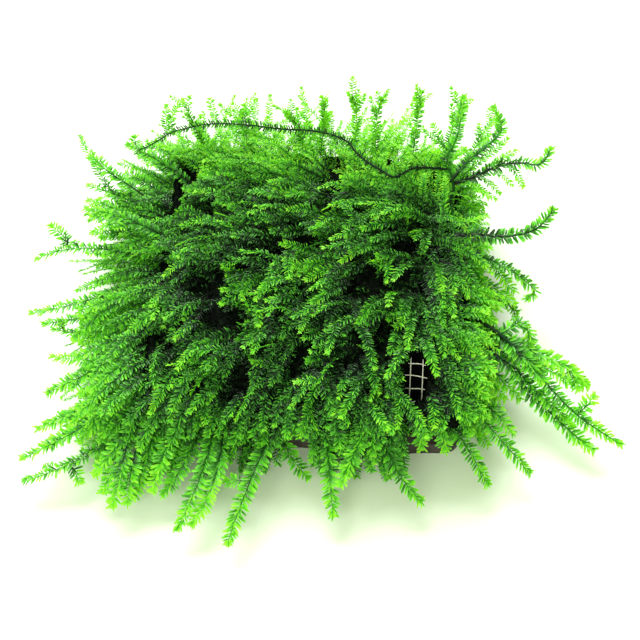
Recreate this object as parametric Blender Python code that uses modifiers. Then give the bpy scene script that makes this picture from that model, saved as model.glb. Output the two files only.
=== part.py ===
"""Pilo moss grown over a flat piece of driftwood, held down by woven steel mesh.

Units are metres and +Z is up. The origin is the middle of the driftwood's flat underside,
with -Y the front, where the longest shoots hang. Lengths below are millimetres times MM.
"""

import math

import bmesh
import bpy
from mathutils import Matrix, Vector, noise

MM = 0.001

# Driftwood: a flat slab with an upright edge, rounded corners and a low crown.
SLAB_WIDTH = 78 * MM
SLAB_DEPTH = 86 * MM
CORNER_RADIUS = 4 * MM
EDGE_HEIGHT = 3.5 * MM
EDGE_WEAR = 0.5 * MM
CROWN_HEIGHT = 19 * MM
SIDE_SLOPE = 18 * MM
END_SLOPE = 30 * MM
GRAIN_DEPTH = 0.9 * MM
GRAIN_PITCH = 5.5 * MM

# Steel mesh: a draped sheet, opened into square holes where the moss leaves it bare.
MESH_LIFT = 0.8 * MM
MESH_THICKNESS = 0.5 * MM
MESH_INSET = 4 * MM
MESH_PITCH = 3 * MM
MESH_HOLE = 2.5 * MM
MESH_CELLS = (12, 13)
BARE_PATCH = Vector((27.5 * MM, -29.5 * MM, 13.5 * MM))
BARE_COLUMNS = 2
BARE_ROWS = 4
BARE_TILT = math.radians(40)
BARE_WIDTH = 5.6 * MM
BARE_LENGTH = 12 * MM

# Moss mat: the matted stems, in rings from under the mat, round its rim and over its top.
MAT_CLEARANCE = 2.3 * MM
MAT_UNDERSIDE = (0.2, 0.4, 0.6, 0.75, 0.87, 0.965)
MAT_RINGS = (
    (1.035, 6.5 * MM),
    (1.06, 9.5 * MM),
    (1.06, 14 * MM),
    (1.0, 19.5 * MM),
    (0.9, 23 * MM),
    (0.75, 25 * MM),
    (0.5, 26.5 * MM),
    (0.25, 27 * MM),
)
MAT_LUMP = 1.1 * MM
FIT_GAP = 0.35 * MM

# Locks: leafy shoots lying over the mat, all turned away from the place where they part.
# None lies within the free places, given as x, y and a distance in millimetres.
PARTING = Vector((25 * MM, 0.0))
LOCK_COUNT = 50
LOCK_LENGTH = 16 * MM
LOCK_WIDTH = 4.6 * MM
LOCK_REACH = 0.93
LOCK_SPREAD = 0.5
LOCK_FREE_PLACES = ((27.5, -29.5, 9.5), (6, 35, 9))
RIM_LOCK_SPACING = 7
RIM_LOCK_ARCH = 2

# Shoots: long fronds past the rim, each with its root, the middle of its arch and its tip
# in millimetres.
SHOOT_WIDTH = 4.6 * MM
SHOOT_FLATNESS = 0.42
SHOOTS = {
    "front": (
        ((-4, -42.5, 12), (-9.5, -59.5, 10.5), (-14, -75, 5)),
        ((-19.5, -43, 12), (-21.5, -59, 11), (-26.5, -71.5, 5)),
        ((6.5, -42.5, 13), (8, -56, 10), (9.5, -65, 5)),
        ((18, -42, 12), (23.5, -54, 10), (30, -60, 5)),
        ((-5.5, -42.5, 8), (-1.5, -50, 7), (3, -54, 4)),
        ((20.5, -39.5, 17.5), (15, -50, 15), (10.5, -61, 11)),
        ((34.5, -39.5, 12), (40.5, -48.5, 10.5), (45.5, -54.5, 5)),
        ((37, -33.5, 14), (47.5, -44.5, 11), (55.5, -50.5, 5)),
        ((-23, -43, 10), (-26, -54.5, 9), (-31, -62, 5)),
        ((-32, -42, 12), (-35, -54, 10), (-37, -63, 5)),
        ((-37, -40.5, 13), (-41, -53.5, 11), (-45, -62.5, 5)),
    ),
    "left": (
        ((-38, -38, 16.5), (-51, -48.5, 12.5), (-66.5, -55.5, 7)),
        ((-36, -43, 10), (-51, -54.5, 8), (-65, -60, 5)),
        ((-38, -35.5, 13), (-51, -42, 11.5), (-61.5, -46, 9)),
        ((-38, -27, 16), (-51, -33.5, 14.5), (-62, -39.5, 12)),
        ((-38.5, -21, 11), (-54, -18.5, 10), (-65.5, -16, 8.5)),
        ((-39.5, -12.5, 15), (-54.5, -13.5, 13), (-68.5, -14.5, 10)),
        ((-39, -5.5, 18), (-57.5, -12, 16.5), (-71, -13.5, 13)),
        ((-40, 1, 17), (-58, 4, 20), (-73, 3.5, 14)),
        ((-38, 7, 20), (-49.5, 10.5, 23), (-61, 14, 22)),
        ((-38, 14, 18.5), (-50, 19, 21.5), (-62, 24, 21)),
        ((-38, 19.5, 22.5), (-54, 21, 25), (-66, 38.5, 26)),
        ((-36, 29, 20), (-44, 32, 24), (-52, 35, 26)),
    ),
    "back": (
        ((-31, 40, 19), (-34.5, 43.5, 26.5), (-38, 47, 32)),
        ((8, 36, 22), (-20, 33, 35.5), (-47.5, 29.5, 29)),
        ((-20, 40, 18), (-21, 46, 23.5), (-22, 52, 27)),
        ((-5, 41, 17), (-7, 47, 25), (-14, 49.5, 29)),
        ((0, 41, 18), (0.5, 45, 26.5), (1, 49, 33)),
        ((8, 41, 17), (9.5, 48.5, 27), (6.5, 51.5, 33)),
        ((15, 41, 17), (15, 48, 26.5), (16, 51, 32)),
        ((25, 41, 18), (26, 47, 27), (27, 53, 34)),
        ((33, 38, 19), (35.5, 44, 28.5), (38, 50, 34)),
        ((37, 33, 19), (42.5, 40.5, 27), (48, 48, 31)),
    ),
    "right": (
        ((36.5, 25.5, 20), (50, 32, 27), (61.5, 37, 29)),
        ((39.5, 13, 19), (52, 11.5, 23.5), (61.5, 17, 27)),
        ((40, 11.5, 15), (50.5, 5.5, 15.5), (58, 1, 12)),
        ((40, -13.5, 13), (59.5, -22, 14), (69.5, -27.5, 10)),
        ((40, -17, 18), (61, -31, 12), (77, -42, 7)),
        ((41.5, -18.5, 13), (57.5, -31.5, 9), (72, -43.5, 5)),
        ((39, -11, 19.5), (49, -16.5, 20), (55, -15.5, 17)),
        ((41, 2.5, 10), (48.5, 0.5, 9), (54, -1, 6)),
        ((39.5, -30.5, 11), (45.5, -35, 10), (51.5, -40.5, 7)),
    ),
}

WOOD_COLOUR = (0.030, 0.019, 0.014)
STEEL_COLOUR = (0.72, 0.70, 0.62)
STEM_MAT_COLOUR = (0.020, 0.085, 0.012)
FROND_COLOUR = (0.100, 0.420, 0.030)


def clear_scene():
    for thing in list(bpy.data.objects):
        bpy.data.objects.remove(thing, do_unlink=True)


def new_collection(name):
    collection = bpy.data.collections.new(name)
    bpy.context.scene.collection.children.link(collection)
    return collection


def material(name, colour, roughness, metallic=0.0):
    found = bpy.data.materials.new(name)
    found.use_nodes = True
    shader = found.node_tree.nodes["Principled BSDF"]
    shader.inputs["Base Color"].default_value = (*colour, 1)
    shader.inputs["Roughness"].default_value = roughness
    shader.inputs["Metallic"].default_value = metallic
    return found


def add_object(name, mesh, collection, finish=None):
    thing = bpy.data.objects.new(name, mesh)
    collection.objects.link(thing)
    if finish:
        mesh.materials.clear()
        mesh.materials.append(finish)
    return thing


def mesh_from(name, shape):
    mesh = bpy.data.meshes.new(name)
    shape.to_mesh(mesh)
    shape.free()
    return mesh


def hide_helper(thing):
    thing.hide_render = True
    thing.display_type = "WIRE"


def boolean(thing, operation, other=None, group=None):
    cut = thing.modifiers.new(operation.title(), "BOOLEAN")
    cut.operation = operation
    cut.solver = "EXACT"
    if group:
        cut.operand_type = "COLLECTION"
        cut.collection = group
    else:
        cut.object = other


def slab_outline():
    """Points round the driftwood's edge: four arcs, joined by worn straight sides."""
    half = Vector((SLAB_WIDTH / 2 - CORNER_RADIUS, SLAB_DEPTH / 2 - CORNER_RADIUS))
    arc_steps, side_steps = 3, 9
    corners = []
    for quarter, signs in enumerate(((1, 1), (-1, 1), (-1, -1), (1, -1))):
        centre = Vector((half.x * signs[0], half.y * signs[1]))
        for step in range(arc_steps + 1):
            angle = math.radians(90) * (quarter + step / arc_steps)
            arm = Vector((math.cos(angle), math.sin(angle)))
            corners.append(centre + CORNER_RADIUS * arm)
    points = []
    for index, point in enumerate(corners):
        points.append(point)
        if index % (arc_steps + 1) == arc_steps:
            after = corners[(index + 1) % len(corners)]
            for step in range(1, side_steps):
                points.append(point.lerp(after, step / side_steps))
    return [point + worn(point) for point in points]


def worn(point):
    """How far wear has moved the slab's edge at a point, outwards or inwards."""
    lift = noise.noise(Vector((point.x, point.y, 0)) / (14 * MM))
    return point.normalized() * EDGE_WEAR * 2 * lift


def rise(distance, slope):
    return math.sin(math.radians(90) * min(max(distance / slope, 0), 1))


def crown(x, y):
    """Height of the driftwood's top before its grain is cut."""
    across = 1 - rise(SLAB_WIDTH / 2 - abs(x), SIDE_SLOPE)
    along = 1 - rise(SLAB_DEPTH / 2 - abs(y), END_SLOPE)
    full = 1 - min(1, math.hypot(across, along))
    return EDGE_HEIGHT + (CROWN_HEIGHT - EDGE_HEIGHT) * full


def grain(x, y):
    """Depth of the grooves that run along the driftwood."""
    drift = noise.noise(Vector((x, y * 0.4, 0)) / (18 * MM)) * 4 * MM
    wave = math.cos(math.tau * (x + drift) / GRAIN_PITCH)
    return GRAIN_DEPTH * (0.5 - 0.5 * wave)


def grow_rings(outline, rings):
    """A closed shape from a disk, its cap extruded ring after ring, each set by a function."""
    shape = bmesh.new()
    bmesh.ops.create_circle(shape, cap_ends=True, segments=len(outline), radius=1)
    order = shape.verts.layers.int.new("order")
    shape.verts.ensure_lookup_table()
    for index, corner in enumerate(shape.verts):
        corner[order] = index
    cap = shape.faces[:][0]
    for corner in cap.verts:
        corner.co = rings[0](outline[corner[order]])
    for place in rings[1:]:
        cap = bmesh.ops.extrude_discrete_faces(shape, faces=[cap])["faces"][0]
        for corner in cap.verts:
            corner.co = place(outline[corner[order]])
    bmesh.ops.poke(shape, faces=[cap])
    bmesh.ops.holes_fill(shape, edges=shape.edges, sides=0)
    bmesh.ops.recalc_face_normals(shape, faces=shape.faces)
    return shape


def level(share, height):
    """A ring at one height: the outline drawn in or out by a share."""
    return lambda point: Vector((point.x * share, point.y * share, height))


def build_driftwood(collection):
    def on_top(share):
        def place(point):
            x, y = point.x * share, point.y * share
            return Vector((x, y, crown(x, y) - grain(x, y) * min(1, (1 - share) * 8)))

        return place

    shares = (0.975, 0.93, 0.86, 0.77, 0.66, 0.54, 0.4, 0.25, 0.1)
    rings = [level(1.0, 0), level(1.0, EDGE_HEIGHT)]
    rings += [on_top(share) for share in shares]
    shape = grow_rings(slab_outline(), rings)
    finish = material("driftwood", WOOD_COLOUR, 0.85)
    return add_object("driftwood", mesh_from("driftwood", shape), collection, finish)


def build_wire_mesh(collection, cutters):
    """The steel mesh draped on the crown, with its square holes cut in the bare patch."""
    shape = bmesh.new()
    bmesh.ops.create_grid(shape, x_segments=MESH_CELLS[0], y_segments=MESH_CELLS[1], size=1)
    half_width = SLAB_WIDTH / 2 - MESH_INSET
    half_depth = SLAB_DEPTH / 2 - MESH_INSET
    for corner in shape.verts:
        x, y = corner.co.x * half_width, corner.co.y * half_depth
        corner.co = Vector((x, y, crown(x, y) + MESH_LIFT))
    finish = material("steel_mesh", STEEL_COLOUR, 0.3, metallic=1.0)
    sheet = add_object("wire_mesh", mesh_from("wire_mesh", shape), collection, finish)
    wall = sheet.modifiers.new("Thickness", "SOLIDIFY")
    wall.thickness = MESH_THICKNESS
    wall.offset = 1.0
    boolean(sheet, "DIFFERENCE", other=build_hole_cutters(cutters))
    return sheet


def build_hole_cutters(cutters):
    shape = bmesh.new()
    for column in range(BARE_COLUMNS):
        for row in range(BARE_ROWS):
            x = BARE_PATCH.x + (column - (BARE_COLUMNS - 1) / 2) * MESH_PITCH
            y = BARE_PATCH.y + (row - (BARE_ROWS - 1) / 2) * MESH_PITCH
            size = Matrix.Diagonal((MESH_HOLE, MESH_HOLE, 8 * MM, 1))
            place = Matrix.Translation((x, y, crown(x, y)))
            bmesh.ops.create_cube(shape, size=1, matrix=place @ size)
    holes = add_object("mesh_holes", mesh_from("mesh_holes", shape), cutters)
    hide_helper(holes)
    return holes


def mat_shape(swell):
    """The matted stems as one closed cushion, swollen by a gap for what is fitted to it."""
    underside = [on_wood(share, MAT_CLEARANCE - swell) for share in MAT_UNDERSIDE]
    outside = [lumpy(share, height, swell) for share, height in MAT_RINGS]
    return grow_rings(slab_outline(), underside + outside)


def on_wood(share, clearance):
    def place(point):
        x, y = point.x * share, point.y * share
        return Vector((x, y, crown(x, y) + clearance))

    return place


def lumpy(share, height, swell):
    def place(point):
        spot = Vector((point.x * share, point.y * share, height))
        lump = MAT_LUMP * noise.noise(spot / (9 * MM))
        outwards = Vector((point.x, point.y, 0)).normalized()
        spot += outwards * (lump + swell) * min(1, share)
        spot.z += (lump * 0.8 + swell) * (1 if height > 10 * MM else -0.3)
        return spot

    return place


def mat_top(x, y):
    """Height of the mat's upper surface, read between its rings."""
    share = max(abs(x) / (SLAB_WIDTH / 2), abs(y) / (SLAB_DEPTH / 2))
    upper = [ring for ring in MAT_RINGS if ring[1] >= 14 * MM]
    for (outer, low), (inner, high) in zip(upper, upper[1:]):
        if inner <= share <= outer:
            return low + (high - low) * (outer - share) / (outer - inner)
    return upper[-1][1] if share < 0.5 else upper[0][1]


def build_moss_mat(collection, cutters, section, finish):
    mat = add_object("moss_mat", mesh_from("moss_mat", mat_shape(0)), collection, finish)
    locks = bpy.data.collections.new("locks")
    cutters.children.link(locks)
    for number, path in enumerate(lock_paths()):
        hide_helper(swept(f"lock_{number + 1}", path, LOCK_WIDTH, locks, section))
    boolean(mat, "UNION", group=locks)
    boolean(mat, "DIFFERENCE", other=build_patch_cutter(cutters))
    return mat


def lock_paths():
    """Each lock's path over the mat, from sunflower places, leaning away from the parting."""
    golden_angle = math.radians(137.508)
    half = Vector((SLAB_WIDTH, SLAB_DEPTH)) / 2
    for number in range(LOCK_COUNT):
        radius = math.sqrt((number + 0.5) / LOCK_COUNT) * LOCK_REACH
        angle = golden_angle * number
        start = Vector((math.cos(angle) * half.x, math.sin(angle) * half.y)) * radius
        away = start - PARTING
        turn = noise.noise(Vector((number * 1.7, 3.1, 0))) * LOCK_SPREAD
        away.rotate(Matrix.Rotation(turn, 2))
        end = start + away.normalized() * LOCK_LENGTH
        share = max(abs(end.x) / half.x, abs(end.y) / half.y)
        if share > LOCK_REACH or kept_free(start) or kept_free(end):
            continue
        yield lock_points(start, end)
    yield from rim_lock_paths()


def rim_lock_paths():
    """The upper tier of locks, which hang over the front, left and right of the rim."""
    for x in range(-35, 40, RIM_LOCK_SPACING):
        yield rim_lock((x, -37, 21), (x + (x - 25) * 0.14, -53, 17.5))
    for y in range(-34, 0, RIM_LOCK_SPACING):
        yield rim_lock((-34, y, 22), (-52, y * 1.2 - 3, 21.5))
    for y in range(-30, 6, RIM_LOCK_SPACING):
        yield rim_lock((34, y, 22), (50, y * 1.2 - 3, 20.5))


def rim_lock(root, tip):
    middle = (Vector(root) + Vector(tip)) / 2 + Vector((0, 0, RIM_LOCK_ARCH))
    return bowed(root, middle, tip, steps=3)


def kept_free(spot):
    """Whether a lock here would cover the bare patch or the root of the arching stem."""
    for x, y, reach in LOCK_FREE_PLACES:
        if (spot - Vector((x, y)) * MM).length < reach * MM:
            return True
    return False


def lock_points(start, end):
    heights = (-1.0 * MM, 0.8 * MM, 1.6 * MM, 2.6 * MM)
    points = []
    for step, height in enumerate(heights):
        spot = start.lerp(end, step / (len(heights) - 1))
        points.append(Vector((spot.x, spot.y, mat_top(spot.x, spot.y) + height)))
    return points


def build_patch_cutter(cutters):
    """A slanting opening that bares the mesh, with the uneven outline of parted moss."""
    shape = bmesh.new()
    bmesh.ops.create_cone(
        shape, cap_ends=True, segments=9, radius1=1, radius2=1, depth=30 * MM
    )
    for corner in shape.verts:
        ragged = 1 + 0.25 * noise.noise(Vector((corner.co.x, corner.co.y, 0)) * 2)
        corner.co.x *= BARE_WIDTH / 2 * ragged
        corner.co.y *= BARE_LENGTH / 2 * ragged
    cutter = add_object("patch_opening", mesh_from("patch_opening", shape), cutters)
    cutter.location = BARE_PATCH
    cutter.rotation_euler.x = BARE_TILT
    hide_helper(cutter)
    return cutter


def build_section(cutters):
    """The flat six-sided section that every shoot is swept with."""
    curve = bpy.data.curves.new("frond_section", "CURVE")
    spline = curve.splines.new("POLY")
    spline.points.add(5)
    for index, point in enumerate(spline.points):
        angle = math.tau * index / 6
        point.co = (math.cos(angle) / 2, math.sin(angle) * SHOOT_FLATNESS / 2, 0, 1)
    spline.use_cyclic_u = True
    section = add_object("frond_section", curve, cutters)
    hide_helper(section)
    return section


def swept(name, points, width, collection, section, finish=None):
    """A frond's outline as a solid: the flat section along a path, tapering to its tip."""
    curve = bpy.data.curves.new(name, "CURVE")
    curve.dimensions = "3D"
    curve.twist_mode = "Z_UP"
    curve.bevel_mode = "OBJECT"
    curve.bevel_object = section
    curve.use_fill_caps = True
    spline = curve.splines.new("POLY")
    spline.points.add(len(points) - 1)
    for index, (point, place) in enumerate(zip(spline.points, points)):
        along = index / (len(points) - 1)
        point.co = (*place, 1)
        point.radius = width * frond_width(along)
    guide = add_object(name + "_path", curve, collection)
    bpy.context.view_layer.update()
    graph = bpy.context.evaluated_depsgraph_get()
    mesh = bpy.data.meshes.new_from_object(guide.evaluated_get(graph))
    mesh.name = name
    bpy.data.objects.remove(guide, do_unlink=True)
    shape = bmesh.new()
    shape.from_mesh(mesh)
    bmesh.ops.remove_doubles(shape, verts=shape.verts, dist=0.001 * MM)
    bmesh.ops.recalc_face_normals(shape, faces=shape.faces)
    shape.to_mesh(mesh)
    shape.free()
    return add_object(name, mesh, collection, finish)


def frond_width(along):
    """Width along a frond as a share of its widest: slim root, full middle, pointed tip."""
    return 0.55 + 0.45 * rise(along, 0.3) - 0.85 * max(0, along - 0.6) ** 2 / 0.16


def bowed(root, middle, tip, steps=5):
    """Points along the rounded arch that runs from a root through a middle to a tip."""
    start, top, end = (Vector(place) * MM for place in (root, middle, tip))
    bow = top - (start + end) / 2
    points = []
    for step in range(steps + 1):
        along = step / steps
        points.append(start.lerp(end, along) + bow * 4 * along * (1 - along))
    return points


def build_shoots(collection, cutters, section, finish):
    clearance = add_object("mat_clearance", mesh_from("mat_clearance", mat_shape(FIT_GAP)), cutters)
    hide_helper(clearance)
    for side, shoots in SHOOTS.items():
        for number, places in enumerate(shoots, start=1):
            name = f"{side}_shoot_{number}"
            path = bowed(*places)
            shoot = swept(name, path, SHOOT_WIDTH, collection, section, finish)
            boolean(shoot, "DIFFERENCE", other=clearance)


def main():
    clear_scene()
    parts = new_collection("pilo_moss_on_driftwood")
    cutters = new_collection("cutters")
    section = build_section(cutters)
    build_driftwood(parts)
    build_wire_mesh(parts, cutters)
    build_moss_mat(parts, cutters, section, material("moss_mat", STEM_MAT_COLOUR, 0.7))
    build_shoots(parts, cutters, section, material("moss_shoot", FROND_COLOUR, 0.55))


main()
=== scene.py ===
"""Pilo moss on driftwood, dressed: leafy shoots, woven steel mesh and weathered wood."""

import math
import random

import bmesh
import bpy
from mathutils import Matrix, Vector, noise


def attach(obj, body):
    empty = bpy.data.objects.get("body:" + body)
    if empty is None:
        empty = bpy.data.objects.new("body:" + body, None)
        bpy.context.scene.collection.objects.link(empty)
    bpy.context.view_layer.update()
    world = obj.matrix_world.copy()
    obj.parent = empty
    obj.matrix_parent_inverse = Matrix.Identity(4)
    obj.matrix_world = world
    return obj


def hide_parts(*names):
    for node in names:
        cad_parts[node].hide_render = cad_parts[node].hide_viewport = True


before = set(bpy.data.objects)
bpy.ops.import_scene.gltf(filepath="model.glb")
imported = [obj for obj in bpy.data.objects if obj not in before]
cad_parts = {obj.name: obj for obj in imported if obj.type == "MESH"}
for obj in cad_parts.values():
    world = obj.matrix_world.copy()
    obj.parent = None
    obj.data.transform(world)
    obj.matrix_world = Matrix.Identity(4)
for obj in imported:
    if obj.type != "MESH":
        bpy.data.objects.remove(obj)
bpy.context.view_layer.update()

# Places and lengths are in millimetres, and are turned into metres as each mesh is made.
MM = 0.001

# Camera: a 75 mm lens held above the front of the driftwood.
CAMERA_AZIMUTH = 3.5
CAMERA_ELEVATION = 50
CAMERA_DISTANCE = 340
CAMERA_TARGET = Vector((3, -10, 10))
CAMERA_LENS = 75
CAMERA_SENSOR = 36

# Light: place, size, power and colour of each lamp, then what they aim at.
LAMPS = {
    "overhead": ((-300, 100, 2000), 1600, 9, (0.93, 1, 0.8)),
    "back_light": ((-620, 1580, 1650), 1600, 150, (1, 0.98, 1)),
    "front_fill": ((-200, -1000, 700), 800, 17, (0.93, 1, 0.8)),
}
LAMPS_AIM = Vector((0, 0, 15))
SKY_COLOUR = (0.84, 1.0, 0.58, 1)
SKY_STRENGTH = 0.42
FLOOR_COLOUR = (0.605, 0.655, 0.565, 1)
FLOOR_SIZE = 3000

# Driftwood, as the frame has it: an upright edge, then a low crown with grain.
SLAB_WIDTH = 78
SLAB_DEPTH = 86
CORNER_RADIUS = 4
EDGE_HEIGHT = 3.5
EDGE_ROUNDING = 0.9
EDGE_WEAR = 1.0
WEAR_LENGTH = 14
CROWN_HEIGHT = 19
SIDE_SLOPE = 18
END_SLOPE = 30
GRAIN_DEPTH = 0.9
GRAIN_PITCH = 5.5
GRAIN_DRIFT = 4
DRIFT_LENGTH = 18

# Its fine roughness: how deep it is and how often it repeats, then the rings of its mesh.
WALL_GROOVES = 0.22
GROOVE_SCALE = (2.1, 0.35, 2.4)
WALL_SPECKS = 0.10
SPECK_SCALE = 2.3
TOP_PITS = 0.16
PIT_SCALE = (1.6, 0.3)
TOP_DROP = 0.1
FOOT_RINGS = ((0, 0.4), (0.35, 0.05))
WALL_STEPS = 8
ROUNDING_STEPS = 5
TOP_START = 0.975
TOP_SPAN = 0.955
TOP_STEPS = 42

# Woven steel mesh, draped over the crown, and the patch of it that is bare of moss.
WIRE_PITCH = (3, 2.6)
WIRE_SHIFT = (-0.85, -0.95)
WIRE_RADIUS = 0.14
WIRE_LIFT = 0.5
WIRE_SIDE_SLOPE = 14.5
MESH_INSET = 5
BARE_PATCH = Vector((27.5, -29.5, 13.5))
BARE_TILT = math.radians(40)
BARE_WIDTH = 5.6
BARE_LENGTH = 12
BARE_MARGIN = 0.5
BARE_DEPTH = 3

# Moss cushion: a rounded block that the shoots lie over, and its matted core, painted near black as
# shade.
CUSHION_HALF_WIDTH = 40
CUSHION_HALF_DEPTH = 44
CUSHION_SQUARENESS = 6
CUSHION_TOP = 26.5
CUSHION_RIM = 19.5
SURFACE_FALL = {"all": 0.34, "front": 0.22, "back": -0.40}

# The core's outside lies under the moss's surface, its sides bulge about their middle height,
# and its underside clears the wood. Its lumps have a size and a width each.
CORE_RIM = 19
CORE_DEPTH = 5.0
CORE_TOP_SHARE = 0.97
CORE_TOP_STEPS = 22
CORE_SIDE_SHARE = 0.965
CORE_BULGE = 0.05
CORE_BULGE_TURN = 80
CORE_MIDDLE = 12.5
CORE_HALF_HEIGHT = 5.5
CORE_SIDE_STEPS = 8
CORE_GAP = 2.2
CORE_UNDERSIDE = (0.05, 0.2, 0.4, 0.6, 0.75, 0.87, 0.95)
CORE_LUMPS = ((1.5, 5), (0.7, 1.7))
LUMPS_RAISED_FROM = 10

# How the moss lies: combed from one corner, spread outwards at the rim, and swirled.
COMBED_FROM = Vector((54, 26))
SPREAD_FROM = Vector((0, 5))
SWIRL = 0.5
SWIRL_SIZE = 11
LOWEST_LEAF = 2.4

# Hollows where the under moss shows, painted near black as shade: place in X and Y, half width and half
# depth.
HOLLOWS = (
    (-36.5, 27.5, 5.5, 7),
    (-38, 17.5, 3.5, 4.5),
    (-27.5, 13, 2.5, 3),
    (-9.5, -1, 2.8, 5),
    (-37, -5.5, 3.2, 4),
    (-25, -11.5, 5, 4.5),
    (-22.5, -20.5, 2.5, 3.5),
    (-1.5, 2.5, 3, 3.5),
    (4.5, 30, 2.5, 8.5),
    (24, 4, 2.5, 3),
    (14.5, -9.5, 4, 6),
    (26.5, -7, 2.5, 3),
    (32, 4.5, 2.2, 3),
    (-35.5, -27, 4, 3.5),
    (-18.5, -23, 5, 3.5),
    (-37, -38, 2.5, 5),
    (-13.5, -37, 2.2, 3.5),
    (0, -32, 2.2, 3.5),
    (12, -29.5, 2.2, 5),
    (19, -26, 2.2, 5),
)

# How deep the hollows are, and the share of the cushion's width and depth where they end.
HOLLOW_DEPTH = 4.4
HOLLOWS_END = 0.96

# What the camera sees past the front moss: wood between two places in X, up to a height.
BARE_WOOD = ((25.5, 43, 9.5), (-4.5, 2.5, 6.5), (-25, -22, 5))

# Layers of shoots over the cushion: spacing, lengths, how deep they root, how high their tips
# lie over the surface, glow, and the share of places that has a shoot. Glow is partly painted
# shade: the deeper a layer, the darker it is, the under one near black.
LAYERS = {
    "under": (4.0, (9, 15), 8.0, (-5, -3.1), (0.03, 0.12), 1.0),
    "middle": (3.05, (11, 18), 5.0, (-1.2, 1.4), (0.18, 0.64), 1.0),
    "crest": (4.5, (13, 22), 4.0, (1.4, 4.2), (0.54, 0.98), 0.8),
}

# Rows of a layer are closer than the shoots in them, and one shoot in four strays.
ROW_SPACING = 0.87
STRAY_TURNS = (0, 0, 0, 0, 0, 0, 0.9, -0.9)

# Moss out of the cushion's sides: lengths, climb, droop, spread of headings, and reach. Then its
# tiers, what climb and glow are at the lowest and gain on each next one, and the two corners
# where it hangs out more or less.
HANGING = {
    "front": ((9, 15), (0.0, 0.15), (0.5, 1.0), 0.24, 8),
    "left": ((16, 27), (0.0, 0.35), (0.15, 0.5), 0.24, 22),
    "back": ((9, 16), (0.35, 1.1), (0.0, 0.2), 0.75, 12),
    "right": ((9, 16), (0.0, 0.3), (0.15, 0.5), 0.3, 9),
}
RIM_TIERS = (6.5, 9.0, 11.5, 14.0, 16.5, 19.0)
RIM_PLACES = 124
RIM_INSET = 2
RIM_CLIMB = (0.2, 0.16)
RIM_GLOW = (0.3, 0.04)
LONG_CORNER = (14, 34)
LONG_CORNER_GAIN = 0.75
SHORT_CORNER = ((20, 36), (-8, 10))
SHORT_CORNER_LOSS = 0.35

# How far out on each side the fringe starts and is in full light, how bright it is there, and
# what moss gains towards the back, towards the right and in two corners. The fringe's
# brightness, and the back edge's gain, are painted backlight.
FRINGE = {"left": (37, 50), "right": (36, 50), "front": (46, 60), "back": (18, 34)}
FRINGE_GLOW = 0.86
BACK_EDGE_GLOW = 0.12
RIGHTWARD_GLOW = 0.08
BACK_RIGHT_GLOW = 0.2
BACK_RIGHT_LIGHT = ((12, 30), (-2, 15))
FRONT_LEFT_GLOW = 0.1
FRONT_LEFT_LIGHT = ((8, 24), (5, 20))

# Styles of shoot: leaf spacing and length, bud length, the leaves' angle to the stem, the share
# of back leaves, the glow of the stem at its root, and the models of side leaf and back leaf.
STYLES = {
    "deep": (0.62, 1.65, 1.0, 64, 0.35, 0.03, "simple", "simple"),
    "lying": (0.62, 1.65, 1.0, 64, 0.35, 0.03, "slim", "simple"),
    "hanging": (0.68, 2.0, 1.15, 70, 0.85, 0.2, "broad", "slim"),
    "upright": (0.64, 1.5, 1.1, 68, 0.6, 0.65, "short", "slim"),
}
STEM_RADIUS = 0.17

# Paths: how many steps a short shoot has, and the fewest points that are left of a cut one.
SHOOT_STEPS = 9
FEWEST_POINTS = 5

# How short shoots vary: place, heading and bend, reach, tone, size and roll. Then how dull their
# roots are, and how much less so in the fringe and at the back, where they are smaller too.
PLACES_STRAY = 0.4
HEADINGS_STRAY = 0.3
BENDS = (-0.6, 0.6)
REACHES = (0.6, 1.15)
TONES = (-0.05, 0.05)
SIZES = (0.8, 1.06)
ROLLS_STRAY = 0.5
ROOT_FADE = 0.95
FRINGE_FADE_LOSS = 0.55
BACK_FADE_LOSS = 0.15
BACK_SIZE_LOSS = 0.15

# The seeds: of all paths, and of the leaves on the first piece and the first long shoots.
PATH_SEED = 4
BED_SEED = 0
LONG_SHOOT_SEED = 2000
SEED_STEP = 100

# How leaves vary: angle to the stem, sway across it, height over the frond's face, length and
# shade. Then how brightness changes from a shoot's root to its tip.
SIDE_ANGLES = (-0.2, 0.2)
SIDE_LIFTS = (-0.12, 0.42)
SIDE_LENGTHS = (0.8, 1.15)
BACK_SWAY = (0.1, 0.9)
BACK_LIFTS = (0.15, 0.6)
BACK_LENGTHS = (0.6, 0.95)
LEAF_SHADES = (-0.28, 0.26)
FRESH_TIP = 0.12
YOUNG_STEM = 0.95
BARK_AT_TIP = 0.4
BARK_DARKNESS = 0.8

# Leaf models, a unit long: half widths, then how far a leaf folds and curls.
HALF_WIDTHS = {"broad": 0.134, "slim": 0.105, "short": 0.17}
LEAF_FOLD = 0.07
LEAF_CURL = 0.16
BUD_HALF_WIDTH = 0.27
BUD_FOLD = 0.08
BUD_CURL = 0.2

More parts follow.
